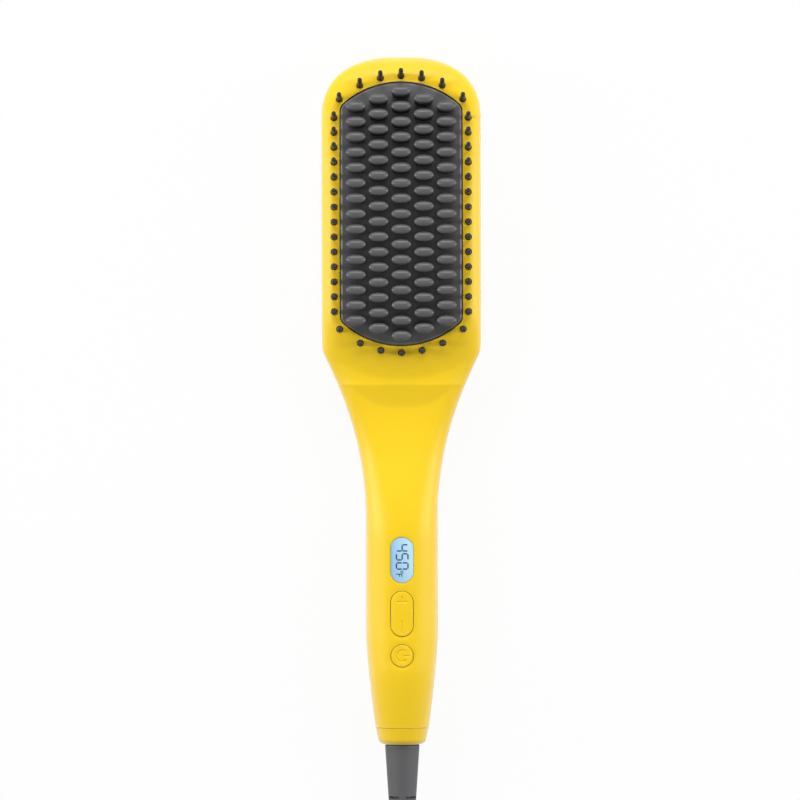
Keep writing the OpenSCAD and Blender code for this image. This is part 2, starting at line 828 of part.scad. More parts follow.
// ---- temperature key: one rocker, pressed at + or at - ----
pivot_z = 23.2;
pivot_r = 0.75;
pivot_gap = 0.07;
key_rib_r = 1.4;
key_rib_x = 4.4;
key_bottom = 24.4;
key_crown_r = 26;
key_top = grip_t + 0.1;
foot_y = 6.5;
foot_z = 23.65;
emboss = 0.2;
sign_w = 0.7;
sign_l = 4.6;
module temperature_key() {
    color(YELLOW)
    translate([0, key_y, 0])
    difference() {
        union() {
            intersection() {
                translate([0, 0, key_bottom])
                    linear_extrude(5) pill(pill_w - 2 * key_gap, pill_l - 2 * key_gap);
                translate([0, 0, key_top - key_crown_r])
                    rotate([90, 0, 0])
                        cylinder(r = key_crown_r, h = 2 * pill_l, center = true, $fn = 360);
            }
            translate([-key_rib_x, -key_rib_r, pivot_z])
                cube([2 * key_rib_x, 2 * key_rib_r, key_bottom - pivot_z + 0.5]);
            translate([0, 0, pivot_z])
                rotate([0, 90, 0])
                    cylinder(r = key_rib_r, h = 2 * key_rib_x, center = true, $fn = 48);
            for (s = [-1, 1])
                translate([-1.2, s * foot_y - 1.2, foot_z])
                    cube([2.4, 2.4, key_bottom - foot_z + 0.5]);
            translate([0, 5, key_top - 1]) {
                translate([-sign_w / 2, -sign_l / 2, 0]) cube([sign_w, sign_l, 1 + emboss]);
                translate([-sign_l / 2, -sign_w / 2, 0]) cube([sign_l, sign_w, 1 + emboss]);
            }
            translate([-sign_w / 2, -5 - sign_l / 2, key_top - 1])
                cube([sign_w, sign_l, 1 + emboss]);
        }
        translate([0, 0, pivot_z])
            rotate([0, 90, 0])
                cylinder(r = pivot_r + pivot_gap, h = 3 * key_rib_x, center = true, $fn = 48);
    }
}
ear_x = 5;
ear_w = 1.6;
module key_pivot_pin() {
    color(STEEL)
        translate([0, key_y, pivot_z])
            rotate([0, 90, 0])
                cylinder(r = pivot_r, h = 2 * (ear_x + ear_w), center = true, $fn = 48);
}
rail_x = 7.5;
rail_in = 4.7;
frame_base_t = 0.8;
window_half = 8.9;
guide_gap = 0.08;
button_flange_r = 5.6;
guide_wall = 0.9;
guide_top = 24.3;
ear_top = 24.6;
module key_frame() {
    base_y0 = button_y - 7.4;
    base_y1 = key_y + window_half + 2;
    color(NEAR_BLACK)
    difference() {
        union() {
            translate([-rail_x, base_y0, board_top])
                cube([2 * rail_x, base_y1 - base_y0, frame_base_t]);
            for (s = [-1, 1])
                translate([s * (ear_x + ear_w / 2) - ear_w / 2, key_y - 1.5, board_top])
                    cube([ear_w, 3, ear_top - board_top]);
            translate([0, button_y, board_top])
                cylinder(r = button_flange_r + guide_gap + guide_wall, h = guide_top - board_top,
                    $fn = 96);
        }
        translate([-rail_in, key_y - window_half, board_top - 1])
            cube([2 * rail_in, 2 * window_half, 3]);
        translate([0, button_y, board_top - 1])
            cylinder(r = button_flange_r + guide_gap, h = 6, $fn = 96);
        translate([0, key_y, pivot_z])
            rotate([0, 90, 0])
                cylinder(r = pivot_r, h = 4 * ear_x, center = true, $fn = 48);
    }
}

// ---- power button ----
button_top = grip_t - 0.05;
button_flange_z = 23.9;
button_flange_t = 0.8;
plunger_r = 1.2;
symbol_r = 2.3;
symbol_w = 0.5;
module power_button() {
    color(YELLOW)
    translate([0, button_y, 0]) {
        translate([0, 0, button_flange_z])
            cylinder(r = button_d / 2 - key_gap, h = button_top - button_flange_z, $fn = 96);
        translate([0, 0, button_flange_z])
            cylinder(r = button_flange_r, h = button_flange_t, $fn = 96);
        translate([0, 0, foot_z]) cylinder(r = plunger_r, h = 0.5, $fn = 32);
        translate([0, 0, button_top - 0.5])
            rotate([0, 0, 40])
                rotate_extrude(angle = 280, $fn = 64)
                    translate([symbol_r - symbol_w / 2, 0]) square([symbol_w, 0.5 + emboss]);
        translate([symbol_r * 0.3, -symbol_w / 2, button_top - 0.5])
            cube([symbol_r * 0.9, symbol_w, 0.5 + emboss]);
    }
}
switch_w = 4.4;
switch_h = 1;
switch_stem_r = 1;
switch_top = 23.2;
module tact_switches() {
    color(NEAR_BLACK)
    for (y = [button_y, key_y - foot_y, key_y + foot_y])
        translate([0, y, board_top]) {
            translate([-switch_w / 2, -switch_w / 2, 0]) cube([switch_w, switch_w, switch_h]);
            cylinder(r = switch_stem_r, h = switch_top - board_top, $fn = 32);
        }
}

// ---- boards ----
control_w = 17;
control_y0 = y_seam + 16;
control_y1 = y_control_post + 2.7;
module control_board() {
    color(BOARD_GREEN)
    difference() {
        translate([-control_w / 2, control_y0, control_board_z])
            cube([control_w, control_y1 - control_y0, board_t]);
        for (p = control_post_places)
            translate([p[0], p[1], control_board_z - 1])
                cylinder(r = board_screw_r + 0.2, h = board_t + 2, $fn = 24);
    }
}
// Chips and connectors hang under the control board, between its screws: each has its x, its
// place as a share of the board's length, its width, length and height
control_chips = [
    [0, 0.2, 7, 7, 1.4], [-3, 0.37, 4, 5, 1.2], [3.5, 0.5, 5, 4, 1.6], [0, 0.7, 9, 5, 2]
];
module control_parts() {
    color(NEAR_BLACK)
    for (c = control_chips)
        translate([
            c[0] - c[2] / 2, mix(control_y0, control_y1, c[1]) - c[3] / 2, control_board_z - c[4]
        ])
            cube([c[2], c[3], c[4]]);
}
power_top = power_board_z + board_t;
module power_board() {
    color(BOARD_GREEN)
    difference() {
        translate([-power_w / 2, power_y0, power_board_z])
            cube([power_w, power_y1 - power_y0, board_t]);
        for (p = power_post_places)
            translate([p[0], p[1], power_board_z - 1])
                cylinder(r = board_screw_r + 0.2, h = board_t + 2, $fn = 24);
    }
}
// Filter capacitor, supply capacitor, switching transistor and fuse, spread along the board
// below the link
link_y = y_grip - 9;
module power_parts() {
    color([0.15, 0.2, 0.45])
    translate([0, 0, power_top]) {
        translate([-7, mix(power_y0, link_y, 0.225), 0]) cube([14, 6, 7]);
        translate([0, mix(power_y0, link_y, 0.54), 0]) cylinder(r = 4, h = 8, $fn = 48);
        translate([-5, mix(power_y0, link_y, 0.734), 0]) cube([10, 3, 8]);
        translate([-6, mix(power_y0, link_y, 0.931), 1.6])
            rotate([0, 90, 0]) cylinder(r = 1.6, h = 12, $fn = 32);
    }
}
module board_screws() {
    color(STEEL) {
        for (p = power_post_places)
            translate([p[0], p[1], power_top])
                screw_down(board_screw_r, board_t + 2.8, screw_head_r, screw_head_h);
        for (p = control_post_places)
            translate([p[0], p[1], control_board_z])
                screw(board_screw_r, board_t + 2.5, screw_head_r, screw_head_h);
    }
}
module board_link() {
    color([0.6, 0.6, 0.62])
        translate([-4, link_y, power_top])
            cube([8, 0.8, control_board_z - power_top]);
}

// ---- tubes that follow a route ----
function unit(v) = v / norm(v);
function bezier_free(p, i, s) = // a smooth curve through the points p, at s between i and i + 1
    let (n = len(p) - 1,
         a = p[max(0, i - 1)], b = p[i], c = p[min(n, i + 1)], d = p[min(n, i + 2)])
    0.5 * (2 * b + (c - a) * s + (2 * a - 5 * b + 4 * c - d) * s * s
        + (3 * b - a - 3 * c + d) * s * s * s);
function smooth_path(p, steps) = concat(
    [for (i = [0 : len(p) - 2], k = [0 : steps - 1]) bezier_free(p, i, k / steps)],
    [p[len(p) - 1]]
);
function path_length(p) = len(p) < 2 ? 0
    : [for (i = 0, l = 0; i < len(p); l = l + (i < len(p) - 1 ? norm(p[i + 1] - p[i]) : 0),
            i = i + 1) l][len(p) - 1];
function path_tangent(p, i) = unit(p[min(i + 1, len(p) - 1)] - p[max(i - 1, 0)]);
// Each ring is set square to the route, with its first point on the side away from the floor
function tube_ring(p, i, r, sides) =
    let (t = path_tangent(p, i),
         across = unit(cross(t, [0, 0, 1])),
         up = cross(across, t))
    [for (k = [0 : sides - 1])
        let (a = 360 * (k + 0.5) / sides) p[i] + r * (cos(a) * up + sin(a) * across)];
module tube(p, d, sides) {
    n = len(p);
    points = [for (i = [0 : n - 1]) each tube_ring(p, i, d / 2, sides)];
    walls = [for (i = [0 : n - 2], k = [0 : sides - 1])
        let (a = i * sides + k, b = i * sides + (k + 1) % sides)
        each [[a, a + sides, b], [b, a + sides, b + sides]]];
    caps = [for (k = [1 : sides - 2])
        each [[0, k, k + 1], [(n - 1) * sides, (n - 1) * sides + k + 1, (n - 1) * sides + k]]];
    polyhedron(points = points, faces = concat(walls, caps));
}
wire_d = 1.8;
thin_wire_d = 1.2;
screw_clear_x = shell_boss_r + 1.4;
y_plate_foot = plate_mid - pad_y;
heater_lead_route = [
    [2.8, power_y1 - 7, power_top + 1], [3.4, power_y1 + 1, power_top + 1.2],
    [screw_clear_x + 2, y_neck_screw, 11], [7, y_corner - 20, 11.4], [8, y_corner, 11.6],
    [8, y_plate_foot - 8, 11.9], [8, y_plate_foot + 2, clamp_z - wire_d / 2 - 0.05]
];
sensor_lead_route = [
    [1, power_y1 - 7, power_top + 0.7], [1.4, power_y1 + 1, power_top + 1.8],
    [screw_clear_x, y_neck_screw, 13], [4.6, y_corner - 20, 13], [3, y_corner, 12],
    [1.5, y_plate_foot + 2, 12], [0.7, thermistor_y - 8, 12.8],
    [0.7, thermistor_y - thermistor_l / 2 - 0.1, 13.1]
];
mains_lead_route = [
    [3, block_y0 + block_l + 0.3, 7], [3, block_y0 + block_l + 1.8, 7], [5.5, y_seam + 12, 7.4],
    [5.6, y_seam + 19, 8],
    [5, power_y0 - 0.1, 8.4]
];
module both_sides() {
    for (s = [0, 1]) mirror([s, 0, 0]) children();
}
module heater_leads() {
    color([0.75, 0.1, 0.08])
        both_sides() tube(smooth_path(heater_lead_route, 2), wire_d, 8);
}
module sensor_leads() {
    color([0.9, 0.9, 0.9])
        both_sides() tube(smooth_path(sensor_lead_route, 2), thin_wire_d, 8);
}
module mains_leads() {
    color([0.1, 0.1, 0.1])
        both_sides() tube(smooth_path(mains_lead_route, 2), wire_d, 8);
}

// ---- the cord ----
cord_r = cord_d / 2;
y_exit = y_end - relief_gap - relief_l;
// The lead leaves the strain relief, comes down to the table and runs to the hank.
lead_route = [
    [0, -186.2, 13.7], [0, -198, 13.6], [2.6, -210.5, 12], [9.6, -222, 8.6], [18.8, -232.6, 5.2],
    [27.4, -243.8, 3.2], [33.6, -256, 3], [36.6, -268, 3], [36.9, -280, 3]
];
tail_route = [
    [-32.6, -277, 9.5], [-29.8, -267.5, 9.5], [-27, -258.5, 9.5], [-26, -250, 9.5],
    [-26, -244, 9.5]
];
// The hank: loops round two folds, spiralling in on the lower layer and out on the upper one,
// with the climb along a run, and drawn in where the tie holds them
hank_mid = -346;
hank_half_run = 60;
hank_fold_r = 18;
hank_pitch = 7.2;
turns_in = 2.625;
turns_out = 2.125;
layer_h = 6.5;
climb_turns = 0.3;
waist_in = 9.5;
rings_per_loop = 24;
tie_t = 1.2;
tie_w = 14;
hank_turns = turns_in + turns_out;
function loop_r(u) = hank_fold_r + hank_pitch * abs(u - turns_in);
function loop_z(u) = cord_r + layer_h * ease((u - turns_in) / climb_turns + 0.5);
function drawn(y) = abs(y) < hank_half_run ? (1 + cos(180 * y / hank_half_run)) / 2 : 0;
// A quarter of each turn goes down the +X run, then round the far fold, up the -X run and
// round the near fold.
function loop_plan(r, f) =
    f < 0.25 ? [r, hank_half_run * (1 - 8 * f)]
    : f < 0.5 ? [r * cos(720 * (f - 0.25)), -hank_half_run - r * sin(720 * (f - 0.25))]
    : f < 0.75 ? [-r, hank_half_run * (8 * f - 5)]
    : [-r * cos(720 * (f - 0.75)), hank_half_run + r * sin(720 * (f - 0.75))];
function loop_point(u) =
    let (p = loop_plan(loop_r(u), u - floor(u)), draw = drawn(p[1]))
    [p[0] - sign(p[0]) * waist_in * draw, hank_mid + p[1], loop_z(u) + tie_t * draw];
hank_path = concat(
    [lead_route[len(lead_route) - 1]],
    [for (i = [0 : hank_turns * rings_per_loop]) loop_point(i / rings_per_loop)],
    tail_route
);
function far_apart(p, skip) = min([
    for (i = [0 : len(p) - 1 - skip], j = [i + skip : len(p) - 1]) norm(p[i] - p[j])
]);
echo(lead_length = path_length(lead_route), hank_length = path_length(hank_path));
echo(hank_least_gap = far_apart(hank_path, rings_per_loop / 3) - cord_d);

module cord_lead() {
    color(DARK_GREY) tube(lead_route, cord_d, 8);
}
module cord_hank() {
    color(DARK_GREY) tube(hank_path, cord_d, 6);
}
module cord_tie() {
    side_slack = 1.2;
    top_slack = 0.3;
    left = loop_r(0.625) - waist_in + cord_r + side_slack;
    right = loop_r(0.125) - waist_in + cord_r + side_slack;
    top = tie_t + 2 * cord_r + layer_h + top_slack;
    color(NEAR_BLACK)
    translate([0, hank_mid + tie_w / 2, 0])
        rotate([90, 0, 0])
            linear_extrude(tie_w)
                difference() {
                    translate([-left - tie_t, 0]) square([left + right + 2 * tie_t, top + tie_t]);
                    translate([-left, tie_t - 0.05]) square([left + right, top - tie_t + 0.05]);
                }
}

// ---- the plug, lying beside the lead ----
plug_at = tail_route[len(tail_route) - 1];
plug_w = 24;
plug_body_l = 26;
plug_neck_l = 14;
blade_spacing = 12.7;
blade_l = 17;
blade_t = 1.5;
blade_ws = [6.4, 7.9];
module plug_body() {
    color(DARK_GREY)
    translate(plug_at)
        rotate([-90, 0, 0]) {
            cylinder(r1 = 4.4, r2 = 6, h = plug_neck_l, $fn = 64);
            translate([0, 0, plug_neck_l])
                intersection() {
                    translate([-plug_w / 2, -plug_at[2], 0])
                        cube([plug_w, 2 * plug_at[2], plug_body_l]);
                    cylinder(r = plug_w / 2 + 1, h = plug_body_l, $fn = 64);
                }
        }
}
module plug_blades() {
    color(BRASS)
    for (s = [0, 1])
        translate([
            plug_at[0] + (2 * s - 1) * blade_spacing / 2 - blade_t / 2,
            plug_at[1] + plug_neck_l + plug_body_l,
            plug_at[2] - blade_ws[s] / 2
        ])
            cube([blade_t, blade_l, blade_ws[s]]);
}

front_shell();
rear_shell();
end_cap();
heated_plate();
bristle_tips();
guard_pin_frame();
plate_seal();
frame_screws();
heater_element();
heater_clamp();
clamp_screws();
thermistor();
thermal_fuse();
heat_shield();
shield_screws();
shell_screws();
display_lens();
lcd_panel();
backlight();
temperature_key();
key_pivot_pin();
key_frame();
power_button();
tact_switches();
control_board();
control_parts();
power_board();
power_parts();
board_screws();
board_link();
heater_leads();
sensor_leads();
swivel_collar();
slip_rings();
slip_contacts();
contact_block();
mains_leads();
strain_relief();
cord_lead();
cord_hank();
cord_tie();
plug_body();
plug_blades();
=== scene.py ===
"""Heated straightening brush with a toothed plate, a digital display and a swivel cord.

Every piece is in metres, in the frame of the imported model: X across the brush, Y along it with
the head at +Y, Z up out of the bristles. Sizes inside the shape code are in millimetres.
"""

import math

import bmesh
import bpy
import numpy as np
from bpy.props import FloatProperty, FloatVectorProperty, IntProperty, PointerProperty
from bpy.types import Operator, Panel, PropertyGroup
from mathutils import Matrix, Vector


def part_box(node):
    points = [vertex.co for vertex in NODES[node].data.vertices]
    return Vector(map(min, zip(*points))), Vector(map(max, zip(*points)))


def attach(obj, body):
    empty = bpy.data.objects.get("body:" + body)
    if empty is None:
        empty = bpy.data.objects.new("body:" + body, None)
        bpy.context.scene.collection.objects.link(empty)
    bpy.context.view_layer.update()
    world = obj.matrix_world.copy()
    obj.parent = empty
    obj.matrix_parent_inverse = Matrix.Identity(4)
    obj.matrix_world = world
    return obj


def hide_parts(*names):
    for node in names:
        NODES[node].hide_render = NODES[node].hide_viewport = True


bl_info = {
    "name": "Straightening Brush",
    "version": (1, 0, 0),
    "blender": (4, 5, 0),
    "location": "View3D > Sidebar > Brush",
    "description": "Builds the visible pieces of a heated straightening brush on its packed model",
    "category": "Object",
}

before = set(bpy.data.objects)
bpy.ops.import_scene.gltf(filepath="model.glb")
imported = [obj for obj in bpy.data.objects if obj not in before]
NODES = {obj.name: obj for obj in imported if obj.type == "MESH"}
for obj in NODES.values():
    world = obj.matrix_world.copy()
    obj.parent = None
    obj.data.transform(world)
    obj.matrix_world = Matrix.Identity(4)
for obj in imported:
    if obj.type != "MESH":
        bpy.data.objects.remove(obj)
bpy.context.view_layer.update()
MM = 0.001


# ---------------------------------------------------------------- settings


def length(name, description, default_mm):
    return FloatProperty(
        name=name,
        description=description,
        default=default_mm * MM,
        min=0,
        unit="LENGTH",
        precision=4,
    )


def colour(name, description, default):
    return FloatVectorProperty(
        name=name, description=description, default=default, subtype="COLOR", size=4, min=0, max=1
    )


class BodySizes(PropertyGroup):
    """Sizes of the two shells and the end cap"""

    head_l: length("Head length", "From the tip of the head to where it starts to narrow", 123.8)
    head_w: length("Head width", "Width of the head across its straight sides", 67)
    head_t: length("Head thickness", "From the flat back to the crown of the front", 25)
    neck_l: length("Neck length", "From the head to the grip", 69.5)
    grip_l: length("Grip length", "From the neck to the end of the cap", 95.5)
    handle_w: length("Grip width", "Width of the grip", 30.2)
    grip_t: length("Grip height", "Height of the grip's front face above the table", 28)
    tail_d: length("Tail diameter", "Diameter of the tail where the end cap starts", 22.4)
    tail_z: length("Cord height", "Height of the cord's axis above the table", 13.7)
    wall: length("Wall", "Wall of the two shells", 2)


class BristleSizes(PropertyGroup):
    """Sizes of the heated plate, its teeth and the guard pins"""

    rim_side: length("Side rim", "Width of the rim beside the plate", 8)
    rim_tip: length("Tip rim", "Width of the rim above the plate", 11.1)
    rim_foot: length("Foot rim", "From the plate's lower end to where the head narrows", 2.2)
    tooth_columns: IntProperty(name="Tooth columns", description="Columns of teeth", default=5)
    tooth_rows: IntProperty(
        name="Tooth rows", description="Teeth in the middle column", default=17
    )
    tip_w: length("Tooth width", "Width of a tooth's oval tip", 8.3)
    tip_d: length("Tooth depth", "Depth of a tooth's oval tip", 4.3)
    stem_h: length("Stem height", "Height of a tooth below its tip", 5)
    tip_h: length("Tip height", "Height of a tooth's tip", 3.5)
    pin_r: length("Pin radius", "Radius of a guard pin's base", 1.25)
    pin_h: length("Pin height", "Height of a guard pin above the rim", 10)
    side_pins: IntProperty(
        name="Side pins", description="Guard pins along each straight side", default=14
    )
    end_pins: IntProperty(name="End pins", description="Guard pins round each end", default=7)


class ControlSizes(PropertyGroup):
    """Sizes and places of the display, the temperature key and the power button"""

    pill_w: length("Window width", "Width of the display window and the key's opening", 9.7)
    pill_l: length("Window length", "Length of the display window and the key's opening", 19.35)
    button_d: length("Button opening", "Diameter of the power button's opening", 9.7)
    key_gap: length("Key gap", "Gap round the display, the key and the button", 0.3)
    display_at: length("Display place", "From the end of the cap to the display", 77.6)
    key_at: length("Key place", "From the end of the cap to the temperature key", 55.1)
    button_at: length("Button place", "From the end of the cap to the power button", 37.6)
    digit_h: length("Digit height", "Height of the digits on the display", 5.4)
    reading: IntProperty(
        name="Reading", description="Number that the display shows", default=450, min=0, max=999
    )


class CordSizes(PropertyGroup):
    """Sizes of the cord, its strain relief and its plug"""

    cord_d: length("Cord diameter", "Diameter of the cord", 6)
    cord_l: length("Cord length", "Whole length of the cord from the strain relief", 2105)
    relief_l: length("Relief length", "Length of the strain relief", 41.3)
    relief_d: length("Relief diameter", "Diameter of the strain relief at the cap", 14.5)


class Finishes(PropertyGroup):
    """Colours of the pieces"""

    shell: colour("Shell", "Moulded plastic of the body", (0.960, 0.640, 0.004, 1))
    plate: colour("Plate", "Coating of the heated plate", (0.042, 0.042, 0.044, 1))
    tips: colour("Tooth tips", "Plastic of the teeth's tips", (0.074, 0.074, 0.078, 1))
    pins: colour("Guard pins", "Nylon of the guard pins", (0.030, 0.034, 0.052, 1))
    rubber: colour("Rubber", "Strain relief, cord and plug", (0.085, 0.085, 0.089, 1))
    window: colour("Display", "Bright side of the display's face", (0.50, 0.76, 0.95, 1))
    digits: colour("Digits", "Dark segments on the display", (0.020, 0.030, 0.042, 1))


def keys_of(group):
    """The names of a group's own settings"""
    return [key for key in group.bl_rna.properties.keys() if key not in ("rna_type", "name")]


# ---------------------------------------------------------------- shape of the body


def ease(s):
    """Goes from 0 to 1 with a level start and end"""
    s = np.clip(s, 0, 1)
    return s * s * (3 - 2 * s)


def mix(a, b, s):
    return a + (b - a) * s


def round_end(s, power):
    """Falls from 1 to 0 as a quarter of an oval"""
    s = np.clip(s, 0, 1)
    return (1 - s**power) ** (1 / power)


def level_off(s):
    """Climbs straight from 0 and turns flat at 1 over a short rounded bend"""
    s = np.clip(s, 0, 1.2)
    bend = (s + 1 - np.sqrt((s - 1) ** 2 + 0.02)) / 2
    return np.clip((bend + 0.005) / 0.934, 0, 1)


def soft_min(a, b, k):
    """The smaller of two, with the bend between them rounded"""
    return (a + b - math.sqrt((a - b) ** 2 + k * k)) / 2


class Plan:
    """Places and surfaces of the brush in millimetres, worked out from the settings"""

    crown_r = 304  # bend of the head's front, from its highest line to the tip
    heel_r = 1400  # and from its highest line to the neck
    head_end_l = 26.4  # the part of the head whose sides round off towards the tip
    nose_l = 11  # the part of it whose edges round off in height as well
    split_z = 12.5  # where the two shells meet
    cap_l = 7.2
    corner_r = 4.2  # corners of the plate's outline
    plate_drop = 1.5  # the plate below the crown
    opening_gap = 0.3  # the shell's opening round the plate
    bowl_reach = 14.5  # slope from the plate's lower end down to the crease
    rest_drop = 1.9  # the thumb rest below the crease
    sole, arch = -0.5, 3.5  # the back where the brush rests, and where it arches up
    opening_roll = (4.2, 0.85)  # width and depth of the face's roll into the plate's opening
    window_dip = (0.7, 0.15)  # width and depth of its dip round the display
    key_dip = (2.1, 0.24)  # and round the key and the button
    pin_offset = 2.6  # the guard pins outside the plate
    side_pins_short, side_pins_low = 29.2, 0.45  # their side rows against the plate's length
    end_pins_wide, foot_pins_low = 0.7, 0.42  # their end rows against the plate's width
    teeth_short, teeth_narrow, teeth_low = 9.5, 13.1, 0.5  # the teeth against the plate

    def __init__(self):
        for group_name in ("brush_body", "brush_bristles", "brush_controls", "brush_cord"):
            group = getattr(bpy.context.scene, group_name)
            for key in keys_of(group):
                value = getattr(group, key)
                setattr(self, key, value if isinstance(value, int) else value / MM)
        # along the brush, from the tip of the head to the end of the cap
        whole = self.head_l + self.neck_l + self.grip_l
        self.y_tip = whole / 2
        self.y_end = -whole / 2
        self.y_seam = self.y_end + self.cap_l
        self.y_corner = self.y_tip - self.head_l
        self.y_grip = self.y_corner - self.neck_l
        self.y_taper = self.y_seam + 40  # the grip narrows from here to the seam
        self.y_front_taper = self.y_seam + 25  # and its front falls from here
        self.y_crown = self.y_tip - 0.5606 * self.head_l  # highest line of the head
        self.y_deck = self.y_corner + 2.4  # the crown is carried straight on from here
        self.y_crease = self.y_corner - 0.204 * self.neck_l  # between head and thumb rest
        self.y_rest = self.y_corner - 0.39 * self.neck_l  # middle of the thumb rest
        self.y_flat = self.y_end + self.display_at + 7.4  # where the grip's front turns level
        self.y_arch_start = self.y_corner - 0.1 * self.neck_l
        self.y_arch = self.y_corner - 0.806 * self.neck_l
        self.y_heel = self.y_end + 52
        self.y_heel_end = self.y_heel - 16
        self.crease_z = float(self.crown_z(self.y_deck)) - 3.0
        self.plate_w = self.head_w - 2 * self.rim_side
        self.plate_l = self.head_l - self.rim_tip - self.rim_foot
        self.plate_mid = self.y_tip - self.rim_tip - self.plate_l / 2
        rise = 0.206 * self.plate_w  # of the plate's rounded ends
        self.end_r = (self.plate_w**2 / 4 + rise * rise) / (2 * rise)
        self.corner_x = self.plate_w / 2 - self.corner_r
        reach = self.end_r - self.corner_r
        self.corner_angle = math.acos(self.corner_x / reach)
        self.end_centre = self.plate_l / 2 - self.end_r
        self.corner_y = self.end_centre + reach * math.sin(self.corner_angle)
        self.display_y = self.y_end + self.display_at
        self.key_y = self.y_end + self.key_at
        self.button_y = self.y_end + self.button_at

    def half_width(self, y, inset):
        if y < self.y_grip:
            taper = max(0.0, self.y_taper - y) / (self.y_taper - self.y_seam)
            return self.handle_w / 2 - (self.handle_w - self.tail_d) / 2 * taper**1.4 - inset
        end = (y - self.y_tip + self.head_end_l) / (self.head_end_l - inset)
        head = (self.head_w / 2 - inset) * float(round_end(end, 2.4))
        flare = max(0.0, y - self.y_grip) / self.neck_l
        neck = self.handle_w / 2 + (self.head_w - self.handle_w) / 2 * flare**2 - inset
        return soft_min(head, neck, 1.0)

    def crown_z(self, y):
        r = np.where(y > self.y_crown, self.crown_r, self.heel_r)
        return self.head_t - (y - self.y_crown) ** 2 / (2 * r)

    def outside_plate(self, x, y):
        """Distance outside the plate's outline, negative inside it"""
        x = np.abs(x)
        y = np.abs(y - self.plate_mid)
        side = x - self.plate_w / 2
        end = np.hypot(x, y - self.end_centre) - self.end_r
        corner = np.hypot(x - self.corner_x, y - self.corner_y) - self.corner_r
        angle = np.arctan2(y - self.end_centre, x)
        beyond = (y > self.corner_y) & (angle < self.corner_angle) & (x > self.corner_x)
        return np.where(beyond, corner, np.where(y > self.corner_y, end, side))

    def outside_pill(self, x, y, centre, w, long):
        y = np.abs(y - centre) - (long - w) / 2
        return np.hypot(x, np.maximum(y, 0)) - w / 2

    def front(self, x, y):
        """Height of the front face over x, for one y: the crown, the bowl under the plate, the
        crease, the thumb rest, the grip and the fall to the tail"""
        x = np.asarray(x, dtype=float)
        if y >= self.y_crease:
            crown = float(self.crown_z(max(y, self.y_deck)))
            band = self.crease_z - 0.7 * (1 - math.exp(-(y - self.y_crease) / 3.5))
            far = np.hypot(x, y - self.plate_mid + self.end_centre) - self.end_r
            bowl = level_off(far / self.bowl_reach) * ease((self.y_corner + 18 - y) / 17)
            z = mix(crown, band, bowl)
        elif y > self.y_flat:
            spread = np.maximum(0.12, 1 - np.abs(x / 21.5) ** 2.6)
            reach = 0.76 * (self.y_crease - self.y_rest) * spread
            q = np.clip((self.y_crease - y) / reach, 0, 1)
            low = self.crease_z - self.rest_drop * spread * level_off(q**1.1)
            start = self.y_crease - reach
            rise = ease((start - y) / (start - self.y_flat))
            z = mix(low, self.grip_t, rise)
        elif y > self.y_front_taper:
            z = np.full_like(x, self.grip_t)
        else:
            s = (self.y_front_taper - y) / (self.y_front_taper - self.y_seam)
            z = np.full_like(x, mix(self.grip_t, self.tail_z + self.tail_d / 2, s**1.4))
        return z - self.edges(x, y)

    def edges(self, x, y):
        """How far the face rolls down into the plate's opening and dips round each control"""
        drop = np.zeros_like(x)
        if y > self.y_corner - 2:
            wide, deep = self.opening_roll
            away = (self.outside_plate(x, y) - self.opening_gap) / wide
            drop += deep * (1 - np.clip(away, 0, 1)) ** 2
        if y < self.y_flat + 8:
            for centre, w, long in (
                (self.display_y, self.pill_w, self.pill_l),
                (self.key_y, self.pill_w, self.pill_l),
                (self.button_y, self.button_d, self.button_d),
            ):
                wide, deep = self.window_dip if centre == self.display_y else self.key_dip
                away = self.outside_pill(x, y, centre, w, long) / wide
                drop += deep * (1 - np.clip(away, 0, 1)) ** 2
        return drop

    def back(self, y):
        """Height of the back: flat under the head and the heel, arched under the neck"""
        sole, arch = self.sole, self.arch
        if y > self.y_arch_start:
            return sole
        if y > self.y_arch:
            s = (self.y_arch_start - y) / (self.y_arch_start - self.y_arch)
            return mix(sole, arch, float(ease(s)))
        if y > self.y_heel:
            return mix(arch, sole, float(ease((self.y_arch - y) / (self.y_arch - self.y_heel))))
        if y > self.y_heel_end:
            return sole
        s = (self.y_heel_end - y) / (self.y_heel_end - self.y_seam)
        return mix(sole, self.tail_z - self.tail_d / 2, float(ease(s)))

    def squareness(self, y):
        if y > self.y_grip:
            start = self.y_grip + 18
            return mix(2.3, 4.5, float(ease((y - start) / (self.y_corner + 5 - start))))
        s = (y - self.y_seam) / (self.y_front_taper - self.y_seam)
        return mix(2.0, 2.3, float(ease(s)))

    def lean(self, y):
        if y > self.y_crown:
            return math.asin((y - self.y_crown) / self.crown_r)
        return -math.asin((self.y_crown - y) / self.heel_r)

    def middle(self, y):
        return (float(self.front(np.zeros(1), y)[0]) + self.back(y)) / 2

    def nose(self, y, inset):
        return float(round_end((y - self.y_tip + self.nose_l) / (self.nose_l - inset), 2.2))

    def surface_z(self, x, y):
        """Height of the front face at one point"""
        half = self.half_width(y, 0)
        middle = self.middle(y)
        k = float(round_end(abs(x) / half, self.squareness(y))) * self.nose(y, 0)
        return middle + (float(self.front(np.array([x]), y)[0]) - middle) * k

    def plate_z(self, y):
        return float(self.crown_z(y)) - self.plate_drop

